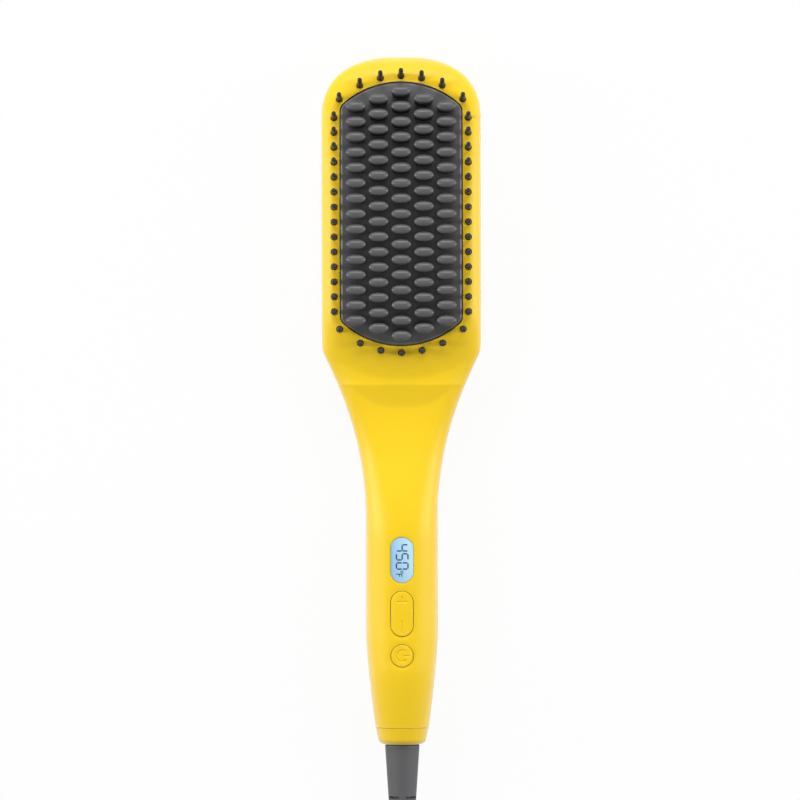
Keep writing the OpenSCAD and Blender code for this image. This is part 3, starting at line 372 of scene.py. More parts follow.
    def section(self, y, inset, upper, lower):
        """A closed ring across the body, evenly spaced along each of its two arcs"""
        half = self.half_width(y, inset)
        power = 2 / self.squareness(y)
        middle = self.middle(y)
        nose = self.nose(y, inset)
        angle = np.linspace(0, math.pi, 480)
        c, s = np.cos(angle), np.sin(angle)
        x = half * np.sign(c) * np.abs(c) ** power
        k = np.abs(s) ** power * nose
        top = np.stack([x, middle + (self.front(x, y) - middle - inset) * k], axis=1)
        low = np.stack([-x, middle - (middle - self.back(y) - inset) * k], axis=1)
        return np.concatenate([spaced(top, upper)[:-1], spaced(low, lower)[:-1]])

    def outline(self, grow, step=1.0):
        """The plate's outline, anticlockwise from the top of its straight right side"""
        turn = self.corner_angle
        big, small = self.end_r + grow, self.corner_r + grow
        n_big = max(8, int(self.end_r * (math.pi - 2 * turn) / step))
        top = arc(self.corner_x, self.corner_y, small, 0, turn, 6)
        top += arc(0, self.end_centre, big, turn, math.pi - turn, n_big)[1:-1]
        top += arc(-self.corner_x, self.corner_y, small, math.pi - turn, math.pi, 6)
        n_side = int(2 * self.corner_y / step)
        side = [
            (-self.plate_w / 2 - grow, mix(self.corner_y, -self.corner_y, i / n_side))
            for i in range(1, n_side)
        ]
        half = top + side
        return [(x, self.plate_mid + y) for x, y in half + [(-x, -y) for x, y in half]]

    def pin_places(self):
        """The row of pins along each straight side, and the row round each end"""
        pitch = (self.plate_l - self.side_pins_short) / (self.side_pins - 1)
        side_x = self.plate_w / 2 + self.pin_offset
        side_y = self.plate_mid - self.side_pins_low
        places = [
            (s * side_x, side_y + (i - (self.side_pins - 1) / 2) * pitch)
            for s in (-1, 1)
            for i in range(self.side_pins)
        ]
        pitch = (self.plate_w + self.end_pins_wide) / (self.end_pins - 1)
        for s, lower in ((-1, self.foot_pins_low), (1, 0)):
            for i in range(self.end_pins):
                x = (i - (self.end_pins - 1) / 2) * pitch
                y = self.end_centre + math.sqrt((self.end_r + self.pin_offset) ** 2 - x * x)
                places.append((x, self.plate_mid + s * y - lower))
        return places

    def tooth_places(self):
        """Columns of teeth, each further out with one tooth less"""
        pitch_x = (self.plate_w - self.teeth_narrow) / (self.tooth_columns - 1)
        pitch_y = (self.plate_l - self.teeth_short) / (self.tooth_rows - 1)
        last = (self.tooth_columns - 1) // 2
        places = []
        for c in range(-last, last + 1):
            n = self.tooth_rows - abs(c)
            foot = self.plate_mid - self.teeth_low - (n - 1) / 2 * pitch_y
            places += [(c * pitch_x, foot + i * pitch_y) for i in range(n)]
        return places


def spaced(points, count):
    """The same open line with count + 1 evenly spaced points"""
    step = np.hypot(*np.diff(points, axis=0).T)
    along = np.concatenate([[0], np.cumsum(step)])
    want = np.linspace(0, along[-1], count + 1)
    return np.stack([np.interp(want, along, points[:, i]) for i in (0, 1)], axis=1)


# ---------------------------------------------------------------- mesh helpers


def link_in(name, data):
    """Puts new data into the scene as an object at the origin"""
    obj = bpy.data.objects.new(name, data)
    bpy.context.scene.collection.objects.link(obj)
    return obj


def new_object(name, bm, smooth_angle=35, merge=True, unit=MM):
    """Turns a closed bmesh in millimetres into an object with its faces outwards"""
    if merge:
        bmesh.ops.remove_doubles(bm, verts=bm.verts, dist=1e-5)
    bmesh.ops.recalc_face_normals(bm, faces=bm.faces)
    bmesh.ops.scale(bm, vec=(unit, unit, unit), verts=bm.verts)
    mesh = bpy.data.meshes.new(name)
    bm.to_mesh(mesh)
    bm.free()
    shade(mesh, smooth_angle)
    return link_in(name, mesh)


def shade(mesh, angle):
    mesh.shade_smooth()
    mesh.set_sharp_from_angle(angle=math.radians(angle))


def arc(x, y, r, start, end, steps):
    """steps + 1 points round (x, y), from one angle to another"""
    angles = (mix(start, end, k / steps) for k in range(steps + 1))
    return [(x + r * math.cos(a), y + r * math.sin(a)) for a in angles]


def circle(r, steps):
    return arc(0, 0, r, 0, 2 * math.pi, steps)[:-1]


def oval_point(w, h, angle, power):
    """A point of an oval w and h from its middle to its sides; power over 2 squares it"""
    c, s = math.cos(angle), math.sin(angle)
    return w * math.copysign(abs(c) ** (2 / power), c), h * math.copysign(abs(s) ** (2 / power), s)


def pill_outline(w, long, y, segments=24):
    """A pill along Y round (0, y), or a circle where it is as long as wide"""
    r, straight = w / 2, (long - w) / 2
    points = arc(0, y + straight, r, 0, math.pi, segments)
    points += arc(0, y - straight, r, math.pi, 2 * math.pi, segments)
    if straight < 1e-6:
        points = points[:segments] + points[segments + 1 : -1]
    return points


def level(outline, z):
    """The outline as a ring at one height"""
    return [(x, y, z) for x, y in outline]


def loft(bm, rings, ends="fans"):
    """Skins rings of equal count, whose ends get fans, stay open or are joined to each other"""
    loops = [[bm.verts.new(p) for p in ring] for ring in rings]
    n = len(loops[0])
    for a, b in zip(loops, loops[1:] + (loops[:1] if ends == "joined" else [])):
        for k in range(n):
            bm.faces.new((a[k], a[(k + 1) % n], b[(k + 1) % n], b[k]))
    if ends == "fans":
        for loop in (loops[0], loops[-1]):
            middle = bm.verts.new(sum((v.co for v in loop), Vector()) / n)
            for k in range(n):
                bm.faces.new((loop[k], loop[(k + 1) % n], middle))
    return loops


def put_at(bm, start, place):
    """Moves the vertices from number start on"""
    if place is not None:
        bm.verts.ensure_lookup_table()
        bmesh.ops.transform(bm, matrix=place, verts=bm.verts[start:])


def lathe(bm, profile, segments, place=None):
    """Turns an (r, z) profile round Z, closes both poles, and moves it by place"""
    start = len(bm.verts)
    loops = []
    for r, z in profile:
        ring = circle(r, segments) if r > 1e-6 else [(0, 0)]
        loops.append([bm.verts.new(p) for p in level(ring, z)])
    for a, b in zip(loops, loops[1:]):
        for k in range(segments):
            j = (k + 1) % segments
            quad = [a[k % len(a)], a[j % len(a)], b[j % len(b)], b[k % len(b)]]
            corners = list(dict.fromkeys(quad))
            if len(corners) > 2:
                bm.faces.new(corners)
    put_at(bm, start, place)


def rod(bm, r, z0, z1, segments, place):
    lathe(bm, [(0, z0), (r, z0), (r, z1), (0, z1)], segments, place)


def prism(bm, outline, z0, z1, place=None):
    """A closed straight block over a flat outline"""
    start = len(bm.verts)
    low = [bm.verts.new(p) for p in level(outline, z0)]
    top = [bm.verts.new(p) for p in level(outline, z1)]
    n = len(outline)
    for k in range(n):
        bm.faces.new((low[k], low[(k + 1) % n], top[(k + 1) % n], top[k]))
    bm.faces.new(list(reversed(low)))
    bm.faces.new(top)
    put_at(bm, start, place)


def box(bm, lo, hi):
    outline = [(lo[0], lo[1]), (hi[0], lo[1]), (hi[0], hi[1]), (lo[0], hi[1])]
    prism(bm, outline, lo[2], hi[2])


def along_y(y, z):
    """A place whose Z runs along the brush towards its head"""
    return Matrix.Translation((0, y, z)) @ Matrix.Rotation(-math.pi / 2, 4, "X")


def cut(obj, cutter, operation="DIFFERENCE", keep_cutter=False):
    """Applies one boolean to the object's mesh"""
    modifier = obj.modifiers.new("Cut", "BOOLEAN")
    modifier.operation = operation
    modifier.object = cutter
    modifier.solver = "MANIFOLD"
    plain_mesh(obj)
    if not obj.data.polygons:
        raise RuntimeError("Cutting " + obj.name + " left nothing")
    if not keep_cutter:
        remove(cutter)


def plain_mesh(obj):
    """Replaces the object's mesh by its evaluated one, and drops its modifiers"""
    mesh = bpy.data.meshes.new_from_object(
        obj.evaluated_get(bpy.context.evaluated_depsgraph_get())
    )
    old = obj.data
    obj.modifiers.clear()
    obj.data = mesh
    mesh.name = obj.name
    if old.users == 0:
        bpy.data.meshes.remove(old)


def remove(obj):
    mesh = obj.data
    bpy.data.objects.remove(obj)
    if mesh.users == 0:
        bpy.data.meshes.remove(mesh)


def coat(obj, material):
    obj.data.materials.clear()
    obj.data.materials.append(material)


# ---------------------------------------------------------------- node helpers


def fill(tree, socket, value):
    """Links a socket to its source, or sets its plain value"""
    if isinstance(value, bpy.types.NodeSocket):
        tree.links.new(value, socket)
    else:
        socket.default_value = value


def add(tree, kind, *sources, **given):
    """Adds a node. sources fill its inputs in order; given names the node's own settings in
    small letters, and its inputs with a capital and _ for each space"""
    node = tree.nodes.new(kind)
    for key, value in given.items():
        if key[0].islower():
            setattr(node, key, value)
    for socket, value in zip(node.inputs, sources):
        fill(tree, socket, value)
    for key, value in given.items():
        if key[0].isupper():
            fill(tree, node.inputs[key.replace("_", " ")], value)
    return node


def flow(tree, kind, *sources, **given):
    """The first output of a new node"""
    return add(tree, kind, *sources, **given).outputs[0]


def maths(tree, operation, *values):
    return flow(tree, "ShaderNodeMath", *values, operation=operation)


def object_place(tree):
    return add(tree, "ShaderNodeTexCoord").outputs["Object"]


def ramp(tree, value, stops):
    """The colour at value on a ramp of (place, colour) stops"""
    node = add(tree, "ShaderNodeValToRGB", value)
    first, last = node.color_ramp.elements
    first.position, first.color = stops[0]
    last.position, last.color = stops[-1]
    for place, shade_there in stops[1:-1]:
        node.color_ramp.elements.new(place).color = shade_there
    return node.outputs[0]


def node_group(name, kind, inputs, outputs):
    """A new group with its named sockets, and the ends to link inside it"""
    tree = bpy.data.node_groups.new(name, kind)
    for way, sockets in (("INPUT", inputs), ("OUTPUT", outputs)):
        for title, sort, *value in sockets:
            socket = tree.interface.new_socket(
                title, in_out=way, socket_type="NodeSocket" + sort
            )
            if value:
                socket.default_value = value[0]
    given = tree.nodes.new("NodeGroupInput").outputs
    return tree, given, tree.nodes.new("NodeGroupOutput").inputs


def new_material(name, **own):
    """A material and its shader; own holds the shader's plain values"""
    material = bpy.data.materials.new(name)
    material.use_nodes = True
    shader = material.node_tree.nodes["Principled BSDF"]
    for key, value in own.items():
        shader.inputs[key.replace("_", " ")].default_value = value
    return material, shader


# ---------------------------------------------------------------- finishes

FINISH = {
    # its colour, or the setting that holds it; roughness; metallic; size and amount of its
    # mottling; size and depth of its grain
    "Yellow moulded plastic": ("shell", 0.36, 0, 9, 0.03, 2600, 0.000006),
    "Plate coating": ("plate", 0.38, 0, 60, 0.12, 3000, 0.00001),
    "Tooth tip plastic": ("tips", 0.37, 0, 80, 0.10, 2600, 0.000008),
    "Guard pin nylon": ("pins", 0.42, 0, 150, 0.10, 2600, 0.000006),
    "Soft rubber": ("rubber", 0.55, 0, 40, 0.10, 2200, 0.00002),
    "Dark segments": ("digits", 0.35, 0, 900, 0.30, 3000, 0),
    "Strap": ((0.02, 0.02, 0.022), 0.7, 0, 300, 0.20, 1200, 0.0001),
    "Plated brass": ((0.72, 0.60, 0.34), 0.25, 1, 200, 0.10, 900, 0.00001),
    "Machined steel": ((0.55, 0.56, 0.58), 0.30, 1, 220, 0.15, 1400, 0.00002),
    "Blackened steel": ((0.06, 0.06, 0.062), 0.45, 1, 220, 0.15, 1400, 0.00002),
    "Contact brass": ((0.72, 0.52, 0.20), 0.28, 1, 180, 0.12, 1400, 0.00001),
    "Mica": ((0.45, 0.34, 0.18), 0.45, 0, 260, 0.45, 1400, 0.00004),
    "Black nylon": ((0.018, 0.018, 0.020), 0.45, 0, 80, 0.15, 1400, 0.00002),
    "Silicone seal": ((0.020, 0.020, 0.020), 0.60, 0, 60, 0.15, 1400, 0.00002),
    "Circuit board": ((0.012, 0.110, 0.045), 0.35, 0, 500, 0.50, 1400, 0.00002),
    "Component cases": ((0.025, 0.030, 0.080), 0.40, 0, 140, 0.30, 1400, 0.00002),
    "Flat cable": ((0.42, 0.42, 0.43), 0.45, 0, 400, 0.30, 1400, 0.00001),
    "Display glass": ((0.30, 0.42, 0.44), 0.12, 0, 300, 0.10, 1400, 0),
    "Diffuser": ((0.85, 0.88, 0.92), 0.50, 0, 300, 0.05, 1400, 0.00001),
    "Red wire": ((0.42, 0.018, 0.012), 0.50, 0, 200, 0.15, 1400, 0.00002),
    "White wire": ((0.75, 0.74, 0.70), 0.50, 0, 200, 0.10, 1400, 0.00002),
    "Black wire": ((0.016, 0.016, 0.018), 0.50, 0, 200, 0.15, 1400, 0.00002),
}
SHINE = {
    "Yellow moulded plastic": {
        "Specular_IOR_Level": 0.30, "Sheen_Weight": 1.0, "Sheen_Roughness": 0.42
    },
    "Plate coating": {"Specular_IOR_Level": 0.35},
    "Tooth tip plastic": {"Specular_IOR_Level": 0.55},
    "Guard pin nylon": {"Specular_IOR_Level": 0.15},
}


def surface_group():
    """Fine grain and slow mottling of a moulded or coated surface, shared by every finish"""
    name = "Surface detail"
    if name in bpy.data.node_groups:
        return bpy.data.node_groups[name]
    tree, given, made = node_group(
        name,
        "ShaderNodeTree",
        (
            ("Colour", "Color", (0.5, 0.5, 0.5, 1)),
            ("Mottle size", "Float", 40),
            ("Mottle amount", "Float", 0.06),
            ("Grain size", "Float", 1500),
            ("Grain depth", "Float", 0.00002),
            ("Roughness", "Float", 0.4),
            ("Roughness spread", "Float", 0.06),
        ),
        (("Colour", "Color"), ("Roughness", "Float"), ("Normal", "Vector")),
    )
    place = object_place(tree)
    mottle = add(tree, "ShaderNodeTexNoise", Vector=place, Scale=given["Mottle size"], Detail=3)
    grain = add(tree, "ShaderNodeTexNoise", Vector=place, Scale=given["Grain size"], Detail=2)
    swing = maths(tree, "SUBTRACT", mottle.outputs["Fac"], 0.5)
    gain = maths(tree, "MULTIPLY_ADD", swing, given["Mottle amount"], 1)
    tinted = flow(tree, "ShaderNodeVectorMath", given["Colour"], operation="SCALE", Scale=gain)
    rough = maths(tree, "MULTIPLY_ADD", swing, given["Roughness spread"], given["Roughness"])
    depth = given["Grain depth"]
    bump = flow(tree, "ShaderNodeBump", Strength=1, Distance=depth, Height=grain.outputs["Fac"])
    for title, value in (("Colour", tinted), ("Roughness", rough), ("Normal", bump)):
        fill(tree, made[title], value)
    return tree


def finish(name):
    """A procedural finish on the shared group; constants sit on the shader's own sockets"""
    if name in bpy.data.materials:
        return bpy.data.materials[name]
    tint, rough, metallic, mottle, amount, grain, depth = FINISH[name]
    if isinstance(tint, str):
        tint = getattr(bpy.context.scene.brush_finishes, tint)
    material, shader = new_material(name, Metallic=metallic, **SHINE.get(name, {}))
    tree = material.node_tree
    detail = add(
        tree, "ShaderNodeGroup", node_tree=surface_group(), Colour=(*tint[:3], 1),
        Roughness=rough, Mottle_size=mottle, Mottle_amount=amount, Grain_size=grain,
        Grain_depth=depth,
    )
    for title, own in (
        ("Colour", "Base Color"), ("Roughness", "Roughness"), ("Normal", "Normal")
    ):
        fill(tree, shader.inputs[own], detail.outputs[title])
    return material


def plate_coating_and_painted_light(plan):
    """Charcoal coating with painted light: its colour turns lighter towards the edge, where the
    teeth shade it less, and a painted highlight lies on the chamfer
    """
    name = "Plate coating"
    if name in bpy.data.materials:
        return bpy.data.materials[name]
    material = finish(name)
    tree = material.node_tree
    x, y = add(tree, "ShaderNodeSeparateXYZ", object_place(tree)).outputs[:2]
    x = maths(tree, "ABSOLUTE", x)
    y = maths(tree, "ABSOLUTE", maths(tree, "SUBTRACT", y, plan.plate_mid * MM))
    y = maths(tree, "MAXIMUM", maths(tree, "SUBTRACT", y, plan.end_centre * MM), 0)
    squares = maths(tree, "ADD", maths(tree, "MULTIPLY", x, x), maths(tree, "MULTIPLY", y, y))
    side = maths(tree, "SUBTRACT", x, plan.plate_w / 2 * MM)
    end = maths(tree, "SUBTRACT", maths(tree, "SQRT", squares), plan.end_r * MM)
    outside = maths(tree, "MAXIMUM", side, end)
    # painted light mask: 0 from 8 mm inside the plate's edge, rising to 1 at the edge
    painted_light_near_edge = flow(tree, "ShaderNodeMapRange", outside, From_Min=-8 * MM, From_Max=0)
    dark = bpy.context.scene.brush_finishes.plate
    # painted light and highlight: up to twice the coating's colour near the edge, where the teeth
    # shade it less, and 4.6 times it over the last 0.8 mm, the chamfer
    stops = [
        (at, [gain * c for c in dark[:3]] + [1])
        for at, gain in ((0, 1), (0.55, 1.9), (0.87, 2.0), (0.90, 4.6), (1, 4.6))
    ]
    detail = next(n for n in tree.nodes if n.type == "GROUP")
    fill(tree, detail.inputs["Colour"], ramp(tree, painted_light_near_edge, stops))
    return material


# ---------------------------------------------------------------- repeated shapes


def scatter_tree():
    """Sets a shape on each place, at its size and lean, and joins it to the piece it grows from"""
    name = "Set shapes on places"
    if name in bpy.data.node_groups:
        return bpy.data.node_groups[name]
    tree, given, made = node_group(
        name,
        "GeometryNodeTree",
        (
            ("Geometry", "Geometry"), ("Places", "Object"), ("Shape", "Object"),
            ("Width", "Float", 1), ("Depth", "Float", 1), ("Height", "Float", 1),
            ("Material", "Material"),
        ),
        (("Geometry", "Geometry"),),
    )
    places, shape = (
        add(tree, "GeometryNodeObjectInfo", Object=given[title]).outputs["Geometry"]
        for title in ("Places", "Shape")
    )
    size = flow(
        tree, "ShaderNodeCombineXYZ", given["Width"], given["Depth"], given["Height"]
    )
    lean = add(
        tree, "GeometryNodeInputNamedAttribute", data_type="FLOAT_VECTOR", Name="lean"
    ).outputs["Attribute"]
    turn = flow(tree, "FunctionNodeEulerToRotation", lean)
    put = flow(
        tree, "GeometryNodeInstanceOnPoints", Points=places, Instance=shape, Rotation=turn,
        Scale=size,
    )
    join = add(tree, "GeometryNodeJoinGeometry", put)
    fill(tree, join.inputs["Geometry"], given["Geometry"])
    real = flow(tree, "GeometryNodeRealizeInstances", join.outputs[0])
    paint = flow(tree, "GeometryNodeSetMaterial", Geometry=real, Material=given["Material"])
    fill(tree, made["Geometry"], paint)
    return tree


def scatter(base, places, shape, size, material, smooth_angle=35):
    """Runs the tree above on the base piece. places is a list of (x, y, z, lean)"""
    mesh = bpy.data.meshes.new("places")
    mesh.from_pydata([tuple(c * MM for c in p[:3]) for p in places], [], [])
    lean = mesh.attributes.new("lean", "FLOAT_VECTOR", "POINT")
    lean.data.foreach_set("vector", [c for p in places for c in (-p[3], 0, 0)])
    points = link_in("places", mesh)
    tree = scatter_tree()
    modifier = base.modifiers.new("Shapes", "NODES")
    modifier.node_group = tree
    given = {"Places": points, "Shape": shape, "Material": material}
    given.update(zip(("Width", "Depth", "Height"), (float(s * MM) for s in size)))
    for item in tree.interface.items_tree:
        if item.in_out == "INPUT" and item.name in given:
            modifier[item.identifier] = given[item.name]
    plain_mesh(base)
    coat(base, material)
    shade(base.data, smooth_angle)
    for helper in (points, shape):
        remove(helper)
    if not base.data.polygons:
        raise RuntimeError(base.name + " came out empty")


# ---------------------------------------------------------------- stage and camera


def seen_directly(tree):
    """1 for the rays that show the surroundings themselves, 0 for those that light the brush"""
    path = add(tree, "ShaderNodeLightPath").outputs
    seen = maths(tree, "MAXIMUM", path["Is Camera Ray"], path["Is Glossy Ray"])
    return maths(tree, "MAXIMUM", seen, path["Is Transmission Ray"])


class STRAIGHTENER_OT_stage(Operator):
    """Sets the camera over the brush, the white floor and the soft lamps"""

    bl_idname = "straightener.stage"
    bl_label = "Stage"

    camera_at, camera_roll, lens_mm = (-0.00067, 0, 2.2), -0.00203, 234.3
    lamps = (
        # name, place, size and watts; each is turned to the middle of the brush
        ("Lamp past the head", (0, 1.60, 1.20), (2.2, 0.45), 26.0),
        ("Lamp on the left", (-0.95, 0.10, 0.30), (0.3, 1.2), 7.8),
        ("Lamp on the right", (0.95, 0.10, 0.30), (0.3, 1.2), 6.8),
    )

    def execute(self, context):
        scene = context.scene
        scene.view_settings.view_transform = "Standard"
        lens = bpy.data.cameras.new("Camera")
        lens.lens = self.lens_mm
        lens.sensor_width = 36
        lens.clip_start = 0.01
        camera = link_in("Camera", lens)
        camera.location = self.camera_at
        camera.rotation_euler = (0, 0, self.camera_roll)
        scene.camera = camera
        self.floor()
        self.sky(scene)
        for name, place, size, watts in self.lamps:
            light = bpy.data.lights.new(name, "AREA")
            light.shape = "RECTANGLE"
            light.size, light.size_y = size
            light.energy = watts
            lamp = link_in(name, light)
            lamp.location = place
            lamp.rotation_euler = (-Vector(place)).to_track_quat("-Z", "Y").to_euler()
        return {"FINISHED"}

    def floor(self):
        """White to the eye, and a dimmer plain surface to the light; just below the brush, so
        that the two don't share a plane"""
        reach, low = 2.5, -0.05 * MM
        corners = [(x * reach, y * reach, low) for x, y in ((-1, -1), (1, -1), (1, 1), (-1, 1))]
        mesh = bpy.data.meshes.new("Floor")
        mesh.from_pydata(corners, [], [(0, 1, 2, 3)])
        floor = link_in("Floor", mesh)
        material, shader = new_material(
            "White floor", Base_Color=(0.9, 0.9, 0.9, 1), Roughness=0.9, Specular_IOR_Level=0
        )
        tree = material.node_tree
        share = maths(tree, "MULTIPLY", seen_directly(tree), 0.94)
        glow = flow(tree, "ShaderNodeEmission", Strength=1)
        blend = flow(tree, "ShaderNodeMixShader", share, shader.outputs[0], glow)
        fill(tree, tree.nodes["Material Output"].inputs["Surface"], blend)
        coat(floor, material)

    def sky(self, scene):
        """White to the eye, and dimmer as light"""
        world = bpy.data.worlds.new("Soft room")
        scene.world = world
        world.use_nodes = True
        tree = world.node_tree
        backdrop = tree.nodes["Background"]
        backdrop.inputs["Color"].default_value = (1, 1, 1, 1)
        strength = flow(tree, "ShaderNodeMapRange", seen_directly(tree), To_Min=0.28, To_Max=1)
        fill(tree, backdrop.inputs["Strength"], strength)


# ---------------------------------------------------------------- shells and cap


def stations(plan, inset):
    """Where the body's rings stand: close together wherever its surface turns"""
    ys = [plan.y_tip - inset - 0.06 - (plan.head_end_l - inset) * (i / 34) ** 2 for i in range(35)]
    for end, step in (
        (plan.plate_mid + plan.corner_y - 2, 0.8),
        (plan.plate_mid - plan.corner_y + 2, 2.2),
        (plan.y_crease, 0.55),
        (plan.y_rest - 4, 0.6),
        (plan.display_y + 12.5, 2.0),
        (plan.button_y - 8.5, 0.6),
        (plan.y_seam, 1.4),
    ):
        start = ys[-1]
        count = max(1, int(round((start - end) / step)))
        ys.extend(start + (end - start) * i / count for i in range(1, count + 1))
    return ys


def body_solid(plan, name, inset, upper, lower, every=1, past_end=0.0):
    """The whole body, or the hollow in it, with upper and lower points to a ring"""
    ys = stations(plan, inset)
    ys = [y for i, y in enumerate(ys) if i % every == 0 or i == len(ys) - 1]
    rings = [[(x, y, z) for x, z in plan.section(y, inset, upper, lower)] for y in ys]
    if past_end:
        rings.append([(x, y - past_end, z) for x, y, z in rings[-1]])
    bm = bmesh.new()
    loft(bm, rings)
    return new_object(name, bm)


class STRAIGHTENER_OT_shells(Operator):
    """Lofts the body, parts it into two shells, hollows them and cuts their openings"""

    bl_idname = "straightener.shells"
    bl_label = "Shells"

    def execute(self, context):
        plan = Plan()
        front = body_solid(plan, "front_shell_skin", 0, 150, 60)
        rear = front.copy()
        rear.data = front.data.copy()
        rear.name = "rear_shell_skin"
        context.scene.collection.objects.link(rear)
        hollow = body_solid(plan, "hollow", plan.wall, 70, 40, every=3, past_end=3)
        gap = 0.07
        for obj, lo, hi in (
            (front, plan.split_z + gap / 2, 60),
            (rear, 0, plan.split_z - gap),
        ):
            self.keep_between(obj, lo, hi)
            cut(obj, hollow, keep_cutter=True)
        remove(hollow)
        cut(front, self.openings(plan))
        cut(rear, self.screw_wells(plan))
        for obj in (front, rear):
            shade(obj.data, 32)
            coat(obj, finish("Yellow moulded plastic"))
            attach(obj, "brush")
        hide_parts("front_shell")
        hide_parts("rear_shell")
        return {"FINISHED"}

    def keep_between(self, obj, lo, hi):
        """The block is in short steps, because one face along the whole body cuts badly"""
        x, block = 60, bmesh.new()
        steps = range(-160, 161, 4)
        loft(block, [[(-x, y, lo), (x, y, lo), (x, y, hi), (-x, y, hi)] for y in steps])
        cut(obj, new_object("block", block), "INTERSECT")

    def openings(self, plan):
        """The plate's opening, the guard pins' holes and the three openings of the controls"""
        bm = bmesh.new()
        prism(bm, plan.outline(plan.opening_gap, 0.7), 14, 40)
        for x, y in plan.pin_places():
            place = Matrix.Translation((x, y, plan.surface_z(x, y)))
            place @= Matrix.Rotation(-plan.lean(y), 4, "X")
            rod(bm, plan.pin_r + 0.25, -6, 4, 20, place)
        for y, w, long in (
            (plan.display_y, plan.pill_w, plan.pill_l),
            (plan.key_y, plan.pill_w, plan.pill_l),
            (plan.button_y, plan.button_d, plan.button_d),
        ):
            prism(bm, pill_outline(w, long, y), 22, 40)
        return new_object("openings", bm, merge=False)

    def screw_wells(self, plan):
        bm = bmesh.new()
        x, shoulder = plan.head_w / 2 - 16.5, plan.y_corner - 10.6
        neck = plan.y_corner - 0.613 * plan.neck_l
        tail = plan.y_seam + 11.2
        for px, py in ((-x, shoulder), (x, shoulder), (0, neck), (0, tail)):
            rod(bm, 2.5, -5, 11, 28, Matrix.Translation((px, py, 0)))
        return new_object("wells", bm, merge=False)


class STRAIGHTENER_OT_end_cap(Operator):
    """Turns the cap that closes the tail round the cord's swivel"""

    bl_idname = "straightener.end_cap"
    bl_label = "End cap"

    def execute(self, context):
        plan = Plan()
        end_r, round_r, bore, seat_r, socket_r = 10.2, 2.9, 6.0, 8.0, 9.1
        brim_r = plan.tail_d / 2
        profile = [(bore, 2.0), (bore, 0.45), (bore + 0.13, 0.13), (bore + 0.45, 0)]
        profile += arc(
            end_r - round_r, round_r, round_r, -math.pi / 2, -0.05 * math.pi, 9
        )
        profile += [
            (mix(end_r, brim_r - 0.12, s), mix(round_r, plan.cap_l - 0.22, s))
            for s in (0.25, 0.5, 0.75, 1)
        ]
        profile += [
            (brim_r - 0.2, plan.cap_l - 0.16),
            (socket_r, plan.cap_l - 0.16),
            (socket_r, plan.cap_l + 2),
            (seat_r, plan.cap_l + 2),
            (seat_r, 2.0),
        ]
        bm = bmesh.new()
        lathe(bm, profile + profile[:1], 128, along_y(plan.y_end, plan.tail_z))
        cap = new_object("end_cap_skin", bm)
        coat(cap, finish("Yellow moulded plastic"))
        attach(cap, "brush")
        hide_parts("end_cap")
        return {"FINISHED"}


# ---------------------------------------------------------------- plate, teeth and pins


def unit_oval(segments, profile, fall=None, power=2.0):
    """A shape 1 wide and 1 deep whose oval rings follow (share of width, height) pairs. fall
    lowers a ring's points by how far they are from the middle"""
    bm = bmesh.new()
    rings = []
    for r, z in profile:
        turns = (2 * math.pi * k / segments for k in range(segments))
        ring = [oval_point(r / 2, r / 2, a, power) for a in turns]
        rings.append([(x, y, z - (fall(x, y) if fall and z > 0.5 else 0)) for x, y in ring])
    loft(bm, rings)
    return new_object("shape", bm, merge=False, unit=1)


class STRAIGHTENER_OT_plate(Operator):
    """Builds the curved heated plate with its bevelled edge, and grows the teeth's stems on it"""

    bl_idname = "straightener.plate"
    bl_label = "Heated plate"

    def execute(self, context):
        plan = Plan()
        bm = bmesh.new()
        rings = [level(plan.outline(0), 15.2)]
        for grow, drop in ((0, 0.80), (-0.08, 0.66), (-0.68, 0.06), (-0.90, 0)):
            rings.append([(x, y, plan.plate_z(y) - drop) for x, y in plan.outline(grow)])
        loops = loft(bm, rings, ends="open")
        for loop in (loops[0], loops[-1]):
            self.close_across(bm, loop)
        plate = new_object("heated_plate_skin", bm, 30, merge=False)
        stem = unit_oval(20, [(1.06, -0.2), (1.06, 0.0), (1.0, 0.06), (1.0, 1.0)])
        places = [(x, y, plan.plate_z(y), plan.lean(y)) for x, y in plan.tooth_places()]
        size = (plan.tip_w - 1, plan.tip_d - 0.8, plan.stem_h)
        scatter(plate, places, stem, size, plate_coating_and_painted_light(plan))
        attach(plate, "brush")
        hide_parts("heated_plate")
        return {"FINISHED"}

    def close_across(self, bm, loop):
        """Fills a loop that is alike on both sides with strips straight across it"""
        n = len(loop)
        high = max(range(n), key=lambda i: (round(loop[i].co.y, 4), -abs(loop[i].co.x)))
        ordered = [loop[(high + i) % n] for i in range(n)]
        i, j = 1, n - 1
        previous = (ordered[0], ordered[0])
        while i < j:
            pair = (ordered[i], ordered[j])
            corners = list(dict.fromkeys([previous[0], pair[0], pair[1], previous[1]]))
            bm.faces.new(corners)
            previous = pair
            i, j = i + 1, j - 1
        if i == j:
            bm.faces.new((previous[0], ordered[i], previous[1]))


